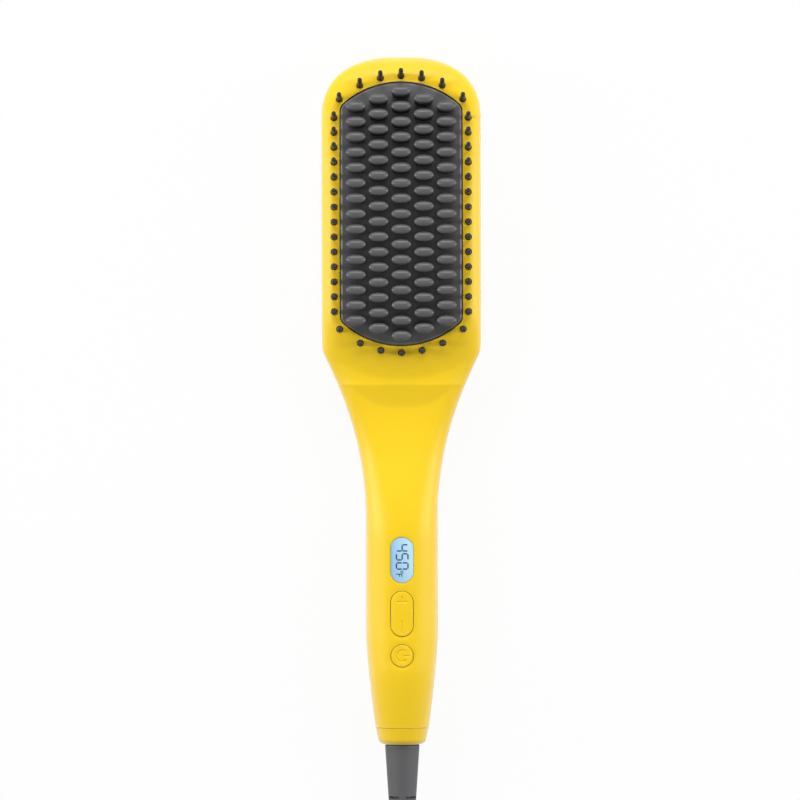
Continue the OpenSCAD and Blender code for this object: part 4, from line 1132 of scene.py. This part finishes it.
class STRAIGHTENER_OT_tooth_tips(Operator):
    """Sets an oval domed tip on each of the plate's teeth"""

    bl_idname = "straightener.tooth_tips"
    bl_label = "Tooth tips"

    def execute(self, context):
        plan = Plan()
        across, along = 8.8, 2.36  # how sharply the dome bends across and along the brush

        def fall(x, y):
            dx = across - math.sqrt(across**2 - (x * plan.tip_w) ** 2)
            dy = along - math.sqrt(along**2 - (y * plan.tip_d) ** 2)
            return (dx + dy) / plan.tip_h

        profile = [(0.90, 0.0), (0.98, 0.02), (1.0, 0.06), (1.0, 0.90), (0.985, 0.955)]
        profile += [(0.95, 0.985), (0.9, 0.995)]
        profile += [(r, 1.0) for r in (0.8, 0.65, 0.5, 0.33, 0.15, 0.02)]
        tip = unit_oval(32, profile, fall, 2.08)
        base = new_object("bristle_tips_skin", bmesh.new())
        places = []
        for x, y in plan.tooth_places():
            lean = plan.lean(y)
            z = plan.plate_z(y) + plan.stem_h * math.cos(lean)
            places.append((x, y + plan.stem_h * math.sin(lean), z, lean))
        size = (plan.tip_w, plan.tip_d, plan.tip_h)
        scatter(base, places, tip, size, finish("Tooth tip plastic"), 60)
        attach(base, "brush")
        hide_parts("bristle_tips")
        return {"FINISHED"}


class STRAIGHTENER_OT_guard_pins(Operator):
    """Stands the guard pins on their frame, up through the rim"""

    bl_idname = "straightener.guard_pins"
    bl_label = "Guard pins"

    def execute(self, context):
        plan = Plan()
        outer, inner = plan.outline(4.6, 1.6), plan.outline(1.0, 1.6)
        low, top = 13.2, 15.1
        bm = bmesh.new()
        rings = [level(outer, low), level(outer, top), level(inner, top), level(inner, low)]
        loft(bm, rings, ends="joined")
        base = new_object("guard_pins_skin", bm, merge=False)
        r, tip = plan.pin_r, 0.95
        profile = [(0, -9), (r, -9), (r, 0.55), (r * 0.97, 0.85), (1.06, 1.9)]
        profile += [(tip, z) for z in (2.6, 4.5, 6.5, 8.2)]
        profile += arc(0, plan.pin_h - tip, tip, 0, math.pi / 2, 5)[1:-1] + [(0, plan.pin_h)]
        bm = bmesh.new()
        lathe(bm, profile, 20)
        pin = new_object("shape", bm, unit=1)
        places = [(x, y, plan.surface_z(x, y), plan.lean(y)) for x, y in plan.pin_places()]
        scatter(base, places, pin, (1, 1, 1), finish("Guard pin nylon"), 45)
        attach(base, "brush")
        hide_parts("guard_pin_frame")
        return {"FINISHED"}


# ---------------------------------------------------------------- display and keys

SEGMENTS = {
    "0": "abcdef", "1": "bc", "2": "abdeg", "3": "abcdg", "4": "bcfg",
    "5": "acdfg", "6": "acdefg", "7": "abc", "8": "abcdefg", "9": "abcdfg",
}


def segment_outlines(w, h, t):
    """The seven bars of a digit, w wide and h high round its own middle, with mitred ends"""
    g = 0.10
    x, y, m = w / 2 - t / 2, h / 2 - t / 2, t / 2

    def lying(cy):
        return [
            (-x + g, cy), (-x + g + m, cy + m), (x - g - m, cy + m),
            (x - g, cy), (x - g - m, cy - m), (-x + g + m, cy - m),
        ]

    def standing(cx, y0, y1):
        return [
            (cx, y0 + g), (cx + m, y0 + g + m), (cx + m, y1 - g - m),
            (cx, y1 - g), (cx - m, y1 - g - m), (cx - m, y0 + g + m),
        ]

    return {
        "a": lying(y), "g": lying(0), "d": lying(-y),
        "f": standing(-x, 0, y), "b": standing(x, 0, y),
        "e": standing(-x, -y, 0), "c": standing(x, -y, 0),
    }


class STRAIGHTENER_OT_display(Operator):
    """Makes the lit display window and the digits under its face"""

    bl_idname = "straightener.display"
    bl_label = "Display"

    def execute(self, context):
        plan = Plan()
        top = plan.grip_t - 0.35
        w, long = (size - 2 * plan.key_gap + 0.34 for size in (plan.pill_w, plan.pill_l))
        flange = 0.7
        rings = []
        for grow, z in (
            (flange, 24.2), (flange, 25.0), (0, 25.0), (0, top - 0.25), (-0.1, top - 0.08),
            (-0.3, top),
        ):
            outline = pill_outline(w + 2 * grow, long + 2 * grow, plan.display_y, 32)
            rings.append(level(outline, z))
        bm = bmesh.new()
        loft(bm, rings)
        lens = new_object("display_lens_skin", bm)
        coat(lens, self.lit_face(plan))
        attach(lens, "brush")
        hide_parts("display_lens")
        self.digits(plan, top)
        return {"FINISHED"}

    def lit_face(self, plan):
        """Brighter to the right, with a fine grid of cells, under a clear coat"""
        material, shader = new_material(
            "Lit display", Roughness=0.25, Coat_Weight=0.3, Coat_Roughness=0.08,
            Emission_Strength=0.06,
        )
        tree = material.node_tree
        place, half = object_place(tree), plan.pill_w / 2 * MM
        x = flow(tree, "ShaderNodeSeparateXYZ", place)
        across = flow(tree, "ShaderNodeMapRange", x, From_Min=-half, From_Max=half)
        bright = bpy.context.scene.brush_finishes.window
        stops = [
            (at, [c * share for c, share in zip(bright, shares)] + [1])
            for at, shares in (
                (0.02, (0.44, 0.5921, 0.7895)), (0.12, (0.62, 0.75, 0.8842)), (0.85, (1, 1, 1))
            )
        ]
        cells = flow(
            tree, "ShaderNodeTexChecker", place, (1, 1, 1, 1), (0.93, 0.95, 0.97, 1), 2600
        )
        lit = flow(
            tree, "ShaderNodeVectorMath", ramp(tree, across, stops), cells, operation="MULTIPLY"
        )
        for title in ("Base Color", "Emission Color"):
            fill(tree, shader.inputs[title], lit)
        return material

    def digits(self, plan, top):
        """Reads downwards, with the tops of the digits towards +X"""
        bm = bmesh.new()

        def put(outline, across, along):
            turned = [(across + y, plan.display_y + along - x) for x, y in outline]
            prism(bm, turned, top - 0.15, top + 0.02)

        bars = segment_outlines(3.15, plan.digit_h, 0.58)
        for character, along in zip("%03d" % plan.reading, (5.1, 1.35, -2.45)):
            for name in SEGMENTS[character]:
                put(bars[name], 0.1, along)
        # the unit: a small ring and a capital F
        ring, hole = circle(0.62, 16), circle(0.34, 16)
        for k in range(16):
            put([ring[k], ring[k - 15], hole[k - 15], hole[k]], 0, -4.95)
        foot, head, t = -1.3, 1.3, 0.36
        left = -0.65
        for x0, y0, x1, y1 in (
            (left, foot, left + t, head),
            (left + t, head - t, 0.75, head),
            (left + t, -0.1, 0.55, t - 0.1),
        ):
            put([(x0, y0), (x1, y0), (x1, y1), (x0, y1)], -1.15, -6.35)
        digits = new_object("display_digits", bm, 30, merge=False)
        coat(digits, finish("Dark segments"))
        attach(digits, "brush")


def key_rings(outline, top, bottom, height, insets):
    """Rings up a key's side, over its rounded edge and in by insets over its face, which
    height(x, y) shapes"""
    round_r = 0.35
    rings = [level(outline(0), bottom)]
    steps = [(0, -round_r)]
    for i in range(1, 6):
        a = math.pi / 2 * i / 5
        steps.append((round_r * (1 - math.cos(a)), round_r * math.sin(a) - round_r))
    steps += [(round_r + inset, 0) for inset in insets]
    for inset, z in steps:
        rings.append([(x, y, top + z + height(x, y)) for x, y in outline(-inset)])
    return rings


class STRAIGHTENER_OT_temperature_key(Operator):
    """Makes the two-way temperature key with its engraved plus and minus"""

    bl_idname = "straightener.temperature_key"
    bl_label = "Temperature key"

    def execute(self, context):
        plan = Plan()
        w, long = (size - 2 * plan.key_gap + 0.1 for size in (plan.pill_w, plan.pill_l))
        top, crown_r = plan.grip_t + 0.1, 26

        def height(x, y):
            return math.sqrt(crown_r * crown_r - x * x) - crown_r

        def outline(grow):
            return pill_outline(w + 2 * grow, long + 2 * grow, plan.key_y, 28)

        bm = bmesh.new()
        loft(bm, key_rings(outline, top, 24.5, height, (1.0, 2.0, 3.2, 4.2)))
        key = new_object("temperature_key_skin", bm)
        for size_x, size_y, y in ((4.8, 0.86, 5), (0.86, 5.0, 5), (0.86, 5.0, -5)):
            rings = []
            for grow in (-0.34, 0, 0.3):
                a, b = size_x / 2 + grow, size_y / 2 + grow
                z = top + grow + height(a, 0)
                corners = [(-a, -b), (a, -b), (a, b), (-a, b)]
                rings.append([(px, py + plan.key_y + y, z) for px, py in corners])
            sign = bmesh.new()
            loft(sign, rings)
            cut(key, new_object("sign", sign))
        legs = bmesh.new()
        y = plan.key_y
        box(legs, (-1.2, y - 7.7, 23.7), (1.2, y - 5.3, 24.9))
        box(legs, (-1.2, y + 5.3, 23.7), (1.2, y + 7.7, 24.9))
        box(legs, (-4.4, y - 1.2, 23.95), (4.4, y + 1.2, 24.9))
        cut(key, new_object("legs", legs, merge=False), "UNION")
        shade(key.data, 30)
        coat(key, finish("Yellow moulded plastic"))
        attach(key, "temperature_key")
        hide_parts("temperature_key")
        return {"FINISHED"}


class STRAIGHTENER_OT_power_button(Operator):
    """Makes the round power button with its engraved symbol"""

    bl_idname = "straightener.power_button"
    bl_label = "Power button"

    def execute(self, context):
        plan = Plan()
        d = plan.button_d - 2 * plan.key_gap + 0.1
        top, flange, foot_z = plan.grip_t - 0.05, 24.6, 23.7

        def outline(grow):
            return pill_outline(d + 2 * grow, d + 2 * grow, plan.button_y, 40)

        def dish(x, y):
            r = math.hypot(x, y - plan.button_y) / (d / 2)
            return -0.12 * (1 - min(1, r) ** 2)

        bm = bmesh.new()
        rings = [level(outline(0.95), 23.9), level(outline(0.95), flange)]
        loft(bm, rings + key_rings(outline, top, flange, dish, (0.6, 1.2, 1.8, 2.6, 3.4)))
        button = new_object("power_button_skin", bm)
        cut(button, self.symbol(plan, top))
        foot = bmesh.new()
        rod(foot, 1.2, foot_z, 24.2, 24, Matrix.Translation((0, plan.button_y, 0)))
        cut(button, new_object("foot", foot, merge=False), "UNION")
        shade(button.data, 30)
        coat(button, finish("Yellow moulded plastic"))
        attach(button, "power_button")
        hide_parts("power_button")
        return {"FINISHED"}

    def symbol(self, plan, top):
        """The tool that engraves a ring open towards +X, and the bar in its gap"""
        r, n = 2.35, 36
        groove = (
            (-0.10, -0.40), (0.10, -0.40), (0.42, -0.08),
            (0.62, 0.30), (-0.62, 0.30), (-0.42, -0.08),
        )
        rings = []
        for i in range(n + 1):
            a = math.radians(mix(40, 320, i / n))
            c, s = math.cos(a), math.sin(a)
            rings.append(
                [((r + dr) * c, plan.button_y + (r + dr) * s, top + z) for dr, z in groove]
            )
        bar = [
            [(x, plan.button_y + dy, top + max(z, floor)) for dy, z in groove]
            for x, floor in ((0.5, -0.08), (0.8, -0.40), (3.0, -0.40), (3.3, -0.08))
        ]
        bm = bmesh.new()
        loft(bm, rings)
        loft(bm, bar)
        return new_object("symbol", bm)


# ---------------------------------------------------------------- cord, relief and plug

LEAD_ROUTE = [
    (0, -186.2, 13.7), (0, -198, 13.6), (2.6, -210.5, 12), (9.6, -222, 8.6), (18.8, -232.6, 5.2),
    (27.4, -243.8, 3.2), (33.6, -256, 3), (36.6, -268, 3), (36.9, -280, 3),
]
TAIL_ROUTE = [
    (-32.6, -277, 9.5), (-29.8, -267.5, 9.5), (-27, -258.5, 9.5), (-26, -250, 9.5),
    (-26, -244, 9.5),
]
HANK_MID, HALF_RUN, FOLD_R, PITCH = -346, 60, 18, 7.2
TURNS_IN, TURNS_OUT, LAYER_H, CLIMB, WAIST_IN, TIE_T = 2.625, 2.125, 6.5, 0.3, 9.5, 1.2


def drawn(y):
    """How far the tie draws the hank in, from 0 at its folds to 1 at its waist"""
    return (1 + math.cos(math.pi * y / HALF_RUN)) / 2 if abs(y) < HALF_RUN else 0


def loop_point(u, cord_r):
    """The cord's axis after u turns of the hank, inwards on the table and outwards on top"""
    r = FOLD_R + PITCH * abs(u - TURNS_IN)
    z = cord_r + LAYER_H * float(ease((u - TURNS_IN) / CLIMB + 0.5))
    f = u - math.floor(u)
    if f < 0.25:
        x, y = r, HALF_RUN * (1 - 8 * f)
    elif f < 0.5:
        a = 4 * math.pi * (f - 0.25)
        x, y = r * math.cos(a), -HALF_RUN - r * math.sin(a)
    elif f < 0.75:
        x, y = -r, HALF_RUN * (8 * f - 5)
    else:
        a = 4 * math.pi * (f - 0.75)
        x, y = -r * math.cos(a), HALF_RUN + r * math.sin(a)
    draw = drawn(y)
    return (x - math.copysign(WAIST_IN * draw, x), HANK_MID + y, z + TIE_T * draw)


def smooth_route(points, steps):
    """A smooth curve through every point of a route"""
    route = []
    last = len(points) - 1
    p = [Vector(q) for q in points]
    for i in range(last):
        a, b, c, d = p[max(0, i - 1)], p[i], p[i + 1], p[min(last, i + 2)]
        for k in range(steps):
            s = k / steps
            route.append(
                0.5 * (2 * b + (c - a) * s + (2 * a - 5 * b + 4 * c - d) * s**2
                       + (3 * b - a - 3 * c + d) * s**3)
            )
    route.append(p[last])
    return route


class STRAIGHTENER_OT_cord(Operator):
    """Lays the cord down to its tied hank, with the strain relief, the tie and the plug on it"""

    bl_idname = "straightener.cord"
    bl_label = "Cord"

    def execute(self, context):
        plan = Plan()
        relief = self.relief(plan)
        tie = self.tie()
        plug = self.plug()
        blades = self.blades()
        cord = self.cord(plan)
        for piece in (tie, plug, blades, cord):
            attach(piece, "brush")
        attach(relief, "swivel")
        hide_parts("strain_relief")
        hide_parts("cord_tie")
        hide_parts("plug_body")
        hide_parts("plug_blades")
        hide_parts("cord_lead", "cord_hank")
        return {"FINISHED"}

    def cord(self, plan):
        r = plan.cord_d / 2
        turns = TURNS_IN + TURNS_OUT
        count = int(turns * 60)
        points = smooth_route(LEAD_ROUTE, 4)
        points += [Vector(loop_point(turns * i / count, r)) for i in range(1, count + 1)]
        points += smooth_route(TAIL_ROUTE, 3)
        data = bpy.data.curves.new("cord", "CURVE")
        data.dimensions = "3D"
        data.bevel_depth = r * MM
        data.bevel_resolution = 4
        data.resolution_u = 2
        data.use_fill_caps = True
        spline = data.splines.new("POLY")
        spline.points.add(len(points) - 1)
        for target, p in zip(spline.points, points):
            target.co = (p.x * MM, p.y * MM, p.z * MM, 1)
        spline.use_smooth = True
        cord = link_in("cord", data)
        coat(cord, finish("Soft rubber"))
        return cord

    def relief(self, plan):
        """A tapered boot with rows of slots that let it bend"""
        gap, n, end_r, start_r, neck = 0.3, plan.relief_l, 4.6, plan.relief_d / 2, 5.95
        round_r = 0.8
        profile = [(0, gap), (neck - 0.2, gap), (neck, gap - 0.2), (neck, 0.0)]
        profile += [(start_r - 0.35, 0), (start_r - 0.1, -0.1), (start_r, -0.4)]
        for i in range(1, 40):
            s = i / 40 * (n - round_r)
            profile.append((mix(start_r, end_r, s / n), -s))
        profile += arc(end_r - round_r, round_r - n, round_r, 0, -math.pi / 2, 6) + [(0, -n)]
        place = along_y(plan.y_end - gap, plan.tail_z)
        bm = bmesh.new()
        lathe(bm, profile, 96, place)
        relief = new_object("strain_relief_skin", bm)
        cut(relief, self.slots(place))
        shade(relief.data, 30)
        coat(relief, finish("Soft rubber"))
        return relief

    def slots(self, place):
        """Four slots to a row with a bridge between them, every second row turned by half"""
        bm = bmesh.new()
        core, outside, wide, bridge = 3.9, 12, 0.9, 2.9
        reach_in, reach_out = (math.pi / 4 - math.asin(bridge / 2 / r) for r in (core, outside))
        for row in range(5):
            z = -(21.9 + 4.1 * row)
            for quarter in range(4):
                middle = math.radians(45 * (row % 2) + 90 * quarter + 45)
                outline = arc(0, 0, core, middle - reach_in, middle + reach_in, 12)
                outline += arc(0, 0, outside, middle + reach_out, middle - reach_out, 12)
                prism(bm, outline, z - wide / 2, z + wide / 2, place)
        return new_object("slots", bm, merge=False)

    def tie(self):
        """A soft strap round the waist of the hank"""
        lo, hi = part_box("cord_tie")
        x0, x1, y0, y1, top = (v / MM for v in (lo.x, hi.x, lo.y, hi.y, hi.z))
        t = 1.2

        def round_path(inset, r):
            points = []
            right, left, high, low = x1 - inset - r, x0 + inset + r, top - inset - r, inset + r
            for k, (x, z) in enumerate(((right, high), (left, high), (left, low), (right, low))):
                points += arc(x, z, r, math.pi / 2 * k, math.pi / 2 * (k + 1), 6)
            return points

        edges = ((y0, 0.25), (y0 + 0.3, 0), (y1 - 0.3, 0), (y1, 0.25))
        rings = [[(x, y, z) for x, z in round_path(s, 2.0 - s / 2)] for y, s in edges]
        rings += [
            [(x, y, z) for x, z in round_path(t - s, 0.8 + s / 2)] for y, s in reversed(edges)
        ]
        bm = bmesh.new()
        loft(bm, rings, ends="joined")
        tie = new_object("cord_tie_skin", bm)
        coat(tie, finish("Strap"))
        return tie

    def plug(self):
        """The plug's body: a tapered neck with ribs, and a rounded block with finger grips"""
        cx, cy, cz = TAIL_ROUTE[-1]
        n = 48
        sections = [(0.0, 4.0, 4.0, 2), (0.15, 4.3, 4.3, 2)]
        for i in range(5):
            s = 1.2 + i * 2.5
            r = mix(4.4, 6.0, s / 14)
            ribs = ((0, 0), (0.3, -0.6), (1.1, -0.5), (1.4, 0.1))
            sections += [(s + ds, r + dr, r + dr, 2) for ds, dr in ribs]
        sections += [
            (14.2, 6.2, 6.2, 2.0), (15.0, 8.2, 7.4, 2.3), (17.0, 10.3, 8.7, 2.8),
            (20.0, 11.4, 9.3, 3.2), (24.0, 11.0, 9.4, 3.4), (28.0, 11.0, 9.4, 3.4),
            (33.0, 11.7, 9.4, 3.4), (37.5, 12.0, 9.45, 3.4), (39.2, 11.8, 9.3, 3.4),
            (39.8, 11.3, 8.9, 3.4), (40.0, 10.6, 8.3, 3.4),
        ]
        rings = []
        for s, w, h, power in sections:
            ring = (oval_point(w, h, 2 * math.pi * (k + 0.5) / n, power) for k in range(n))
            rings.append([(cx + x, cy + s, cz + z) for x, z in ring])
        bm = bmesh.new()
        loft(bm, rings)
        plug = new_object("plug_body_skin", bm, 40)
        coat(plug, finish("Soft rubber"))
        return plug

    def blades(self):
        """The two flat blades, rounded at their ends, each with its hole"""
        cx, cy, cz = TAIL_ROUTE[-1]
        y0, y1 = cy + 40, cy + 57
        bm = bmesh.new()
        holes = bmesh.new()
        for sign, width in ((-1, 6.4), (1, 7.9)):
            x, half = cx + sign * 6.35, width / 2
            side = [(y0, half), (y1 - 2.2, half), (y1 - 0.6, half - 0.8), (y1, half - 1.9)]
            outline = [(y, -z) for y, z in side] + side[::-1]
            rings = []
            for dx, inset in ((-0.75, 0.2), (-0.6, 0), (0.6, 0), (0.75, 0.2)):
                rings.append([
                    (x + dx, y if y == y0 else y - inset, cz + z - math.copysign(inset, z))
                    for y, z in outline
                ])
            loft(bm, rings)
            turn = Matrix.Translation((x, y1 - 4, cz)) @ Matrix.Rotation(math.pi / 2, 4, "Y")
            rod(holes, 1.5, -2, 2, 24, turn)
        blades = new_object("plug_blades_skin", bm, 30)
        cut(blades, new_object("holes", holes, merge=False))
        shade(blades.data, 30)
        coat(blades, finish("Plated brass"))
        return blades


# ---------------------------------------------------------------- pieces inside

INSIDE = {
    "Machined steel": (
        "frame_screws", "clamp_screws", "shield_screws", "shell_screws", "board_screws",
        "heater_clamp", "heat_shield", "thermal_fuse",
    ),
    "Blackened steel": ("key_pivot_pin",),
    "Contact brass": ("slip_rings", "slip_contacts"),
    "Mica": ("heater_element",),
    "Black nylon": ("key_frame", "tact_switches", "swivel_collar", "contact_block"),
    "Silicone seal": ("plate_seal",),
    "Circuit board": ("control_board", "power_board"),
    "Component cases": ("control_parts", "power_parts", "thermistor"),
    "Flat cable": ("board_link",),
    "Display glass": ("lcd_panel",),
    "Diffuser": ("backlight",),
    "Red wire": ("heater_leads",),
    "White wire": ("sensor_leads",),
    "Black wire": ("mains_leads",),
}


class STRAIGHTENER_OT_inside(Operator):
    """Gives each piece inside the brush its finish"""

    bl_idname = "straightener.inside"
    bl_label = "Pieces inside"

    def execute(self, context):
        for name, nodes in INSIDE.items():
            for node in nodes:
                piece = NODES[node]
                if not piece.material_slots:
                    piece.data.materials.append(finish(name))
                for slot in piece.material_slots:
                    slot.material = finish(name)
        return {"FINISHED"}


class STRAIGHTENER_PT_panel(Panel):
    """Lists the pieces of the brush and their sizes"""

    bl_idname = "STRAIGHTENER_PT_panel"
    bl_label = "Straightening brush"
    bl_space_type = "VIEW_3D"
    bl_region_type = "UI"
    bl_category = "Brush"

    def draw(self, context):
        for operator in OPERATORS:
            self.layout.operator(operator.bl_idname)
        for _, name, title in GROUPS:
            area = self.layout.box()
            area.label(text=title)
            group = getattr(context.scene, name)
            for key in keys_of(group):
                area.prop(group, key)


OPERATORS = (
    STRAIGHTENER_OT_stage,
    STRAIGHTENER_OT_cord,
    STRAIGHTENER_OT_shells,
    STRAIGHTENER_OT_end_cap,
    STRAIGHTENER_OT_plate,
    STRAIGHTENER_OT_tooth_tips,
    STRAIGHTENER_OT_guard_pins,
    STRAIGHTENER_OT_display,
    STRAIGHTENER_OT_temperature_key,
    STRAIGHTENER_OT_power_button,
    STRAIGHTENER_OT_inside,
)
GROUPS = (
    (BodySizes, "brush_body", "Body"),
    (BristleSizes, "brush_bristles", "Bristles"),
    (ControlSizes, "brush_controls", "Controls"),
    (CordSizes, "brush_cord", "Cord"),
    (Finishes, "brush_finishes", "Finishes"),
)


def register():
    for group, name, _ in GROUPS:
        bpy.utils.register_class(group)
        setattr(bpy.types.Scene, name, PointerProperty(type=group))
    for operator in OPERATORS:
        bpy.utils.register_class(operator)
    bpy.utils.register_class(STRAIGHTENER_PT_panel)


def unregister():
    bpy.utils.unregister_class(STRAIGHTENER_PT_panel)
    for operator in reversed(OPERATORS):
        bpy.utils.unregister_class(operator)
    for group, name, _ in reversed(GROUPS):
        delattr(bpy.types.Scene, name)
        bpy.utils.unregister_class(group)


def main():
    register()
    for operator in OPERATORS:
        area, name = operator.bl_idname.split(".")
        if getattr(getattr(bpy.ops, area), name)() != {"FINISHED"}:
            raise RuntimeError(operator.bl_label + " didn't finish")


if __name__ == "__main__":
    main()
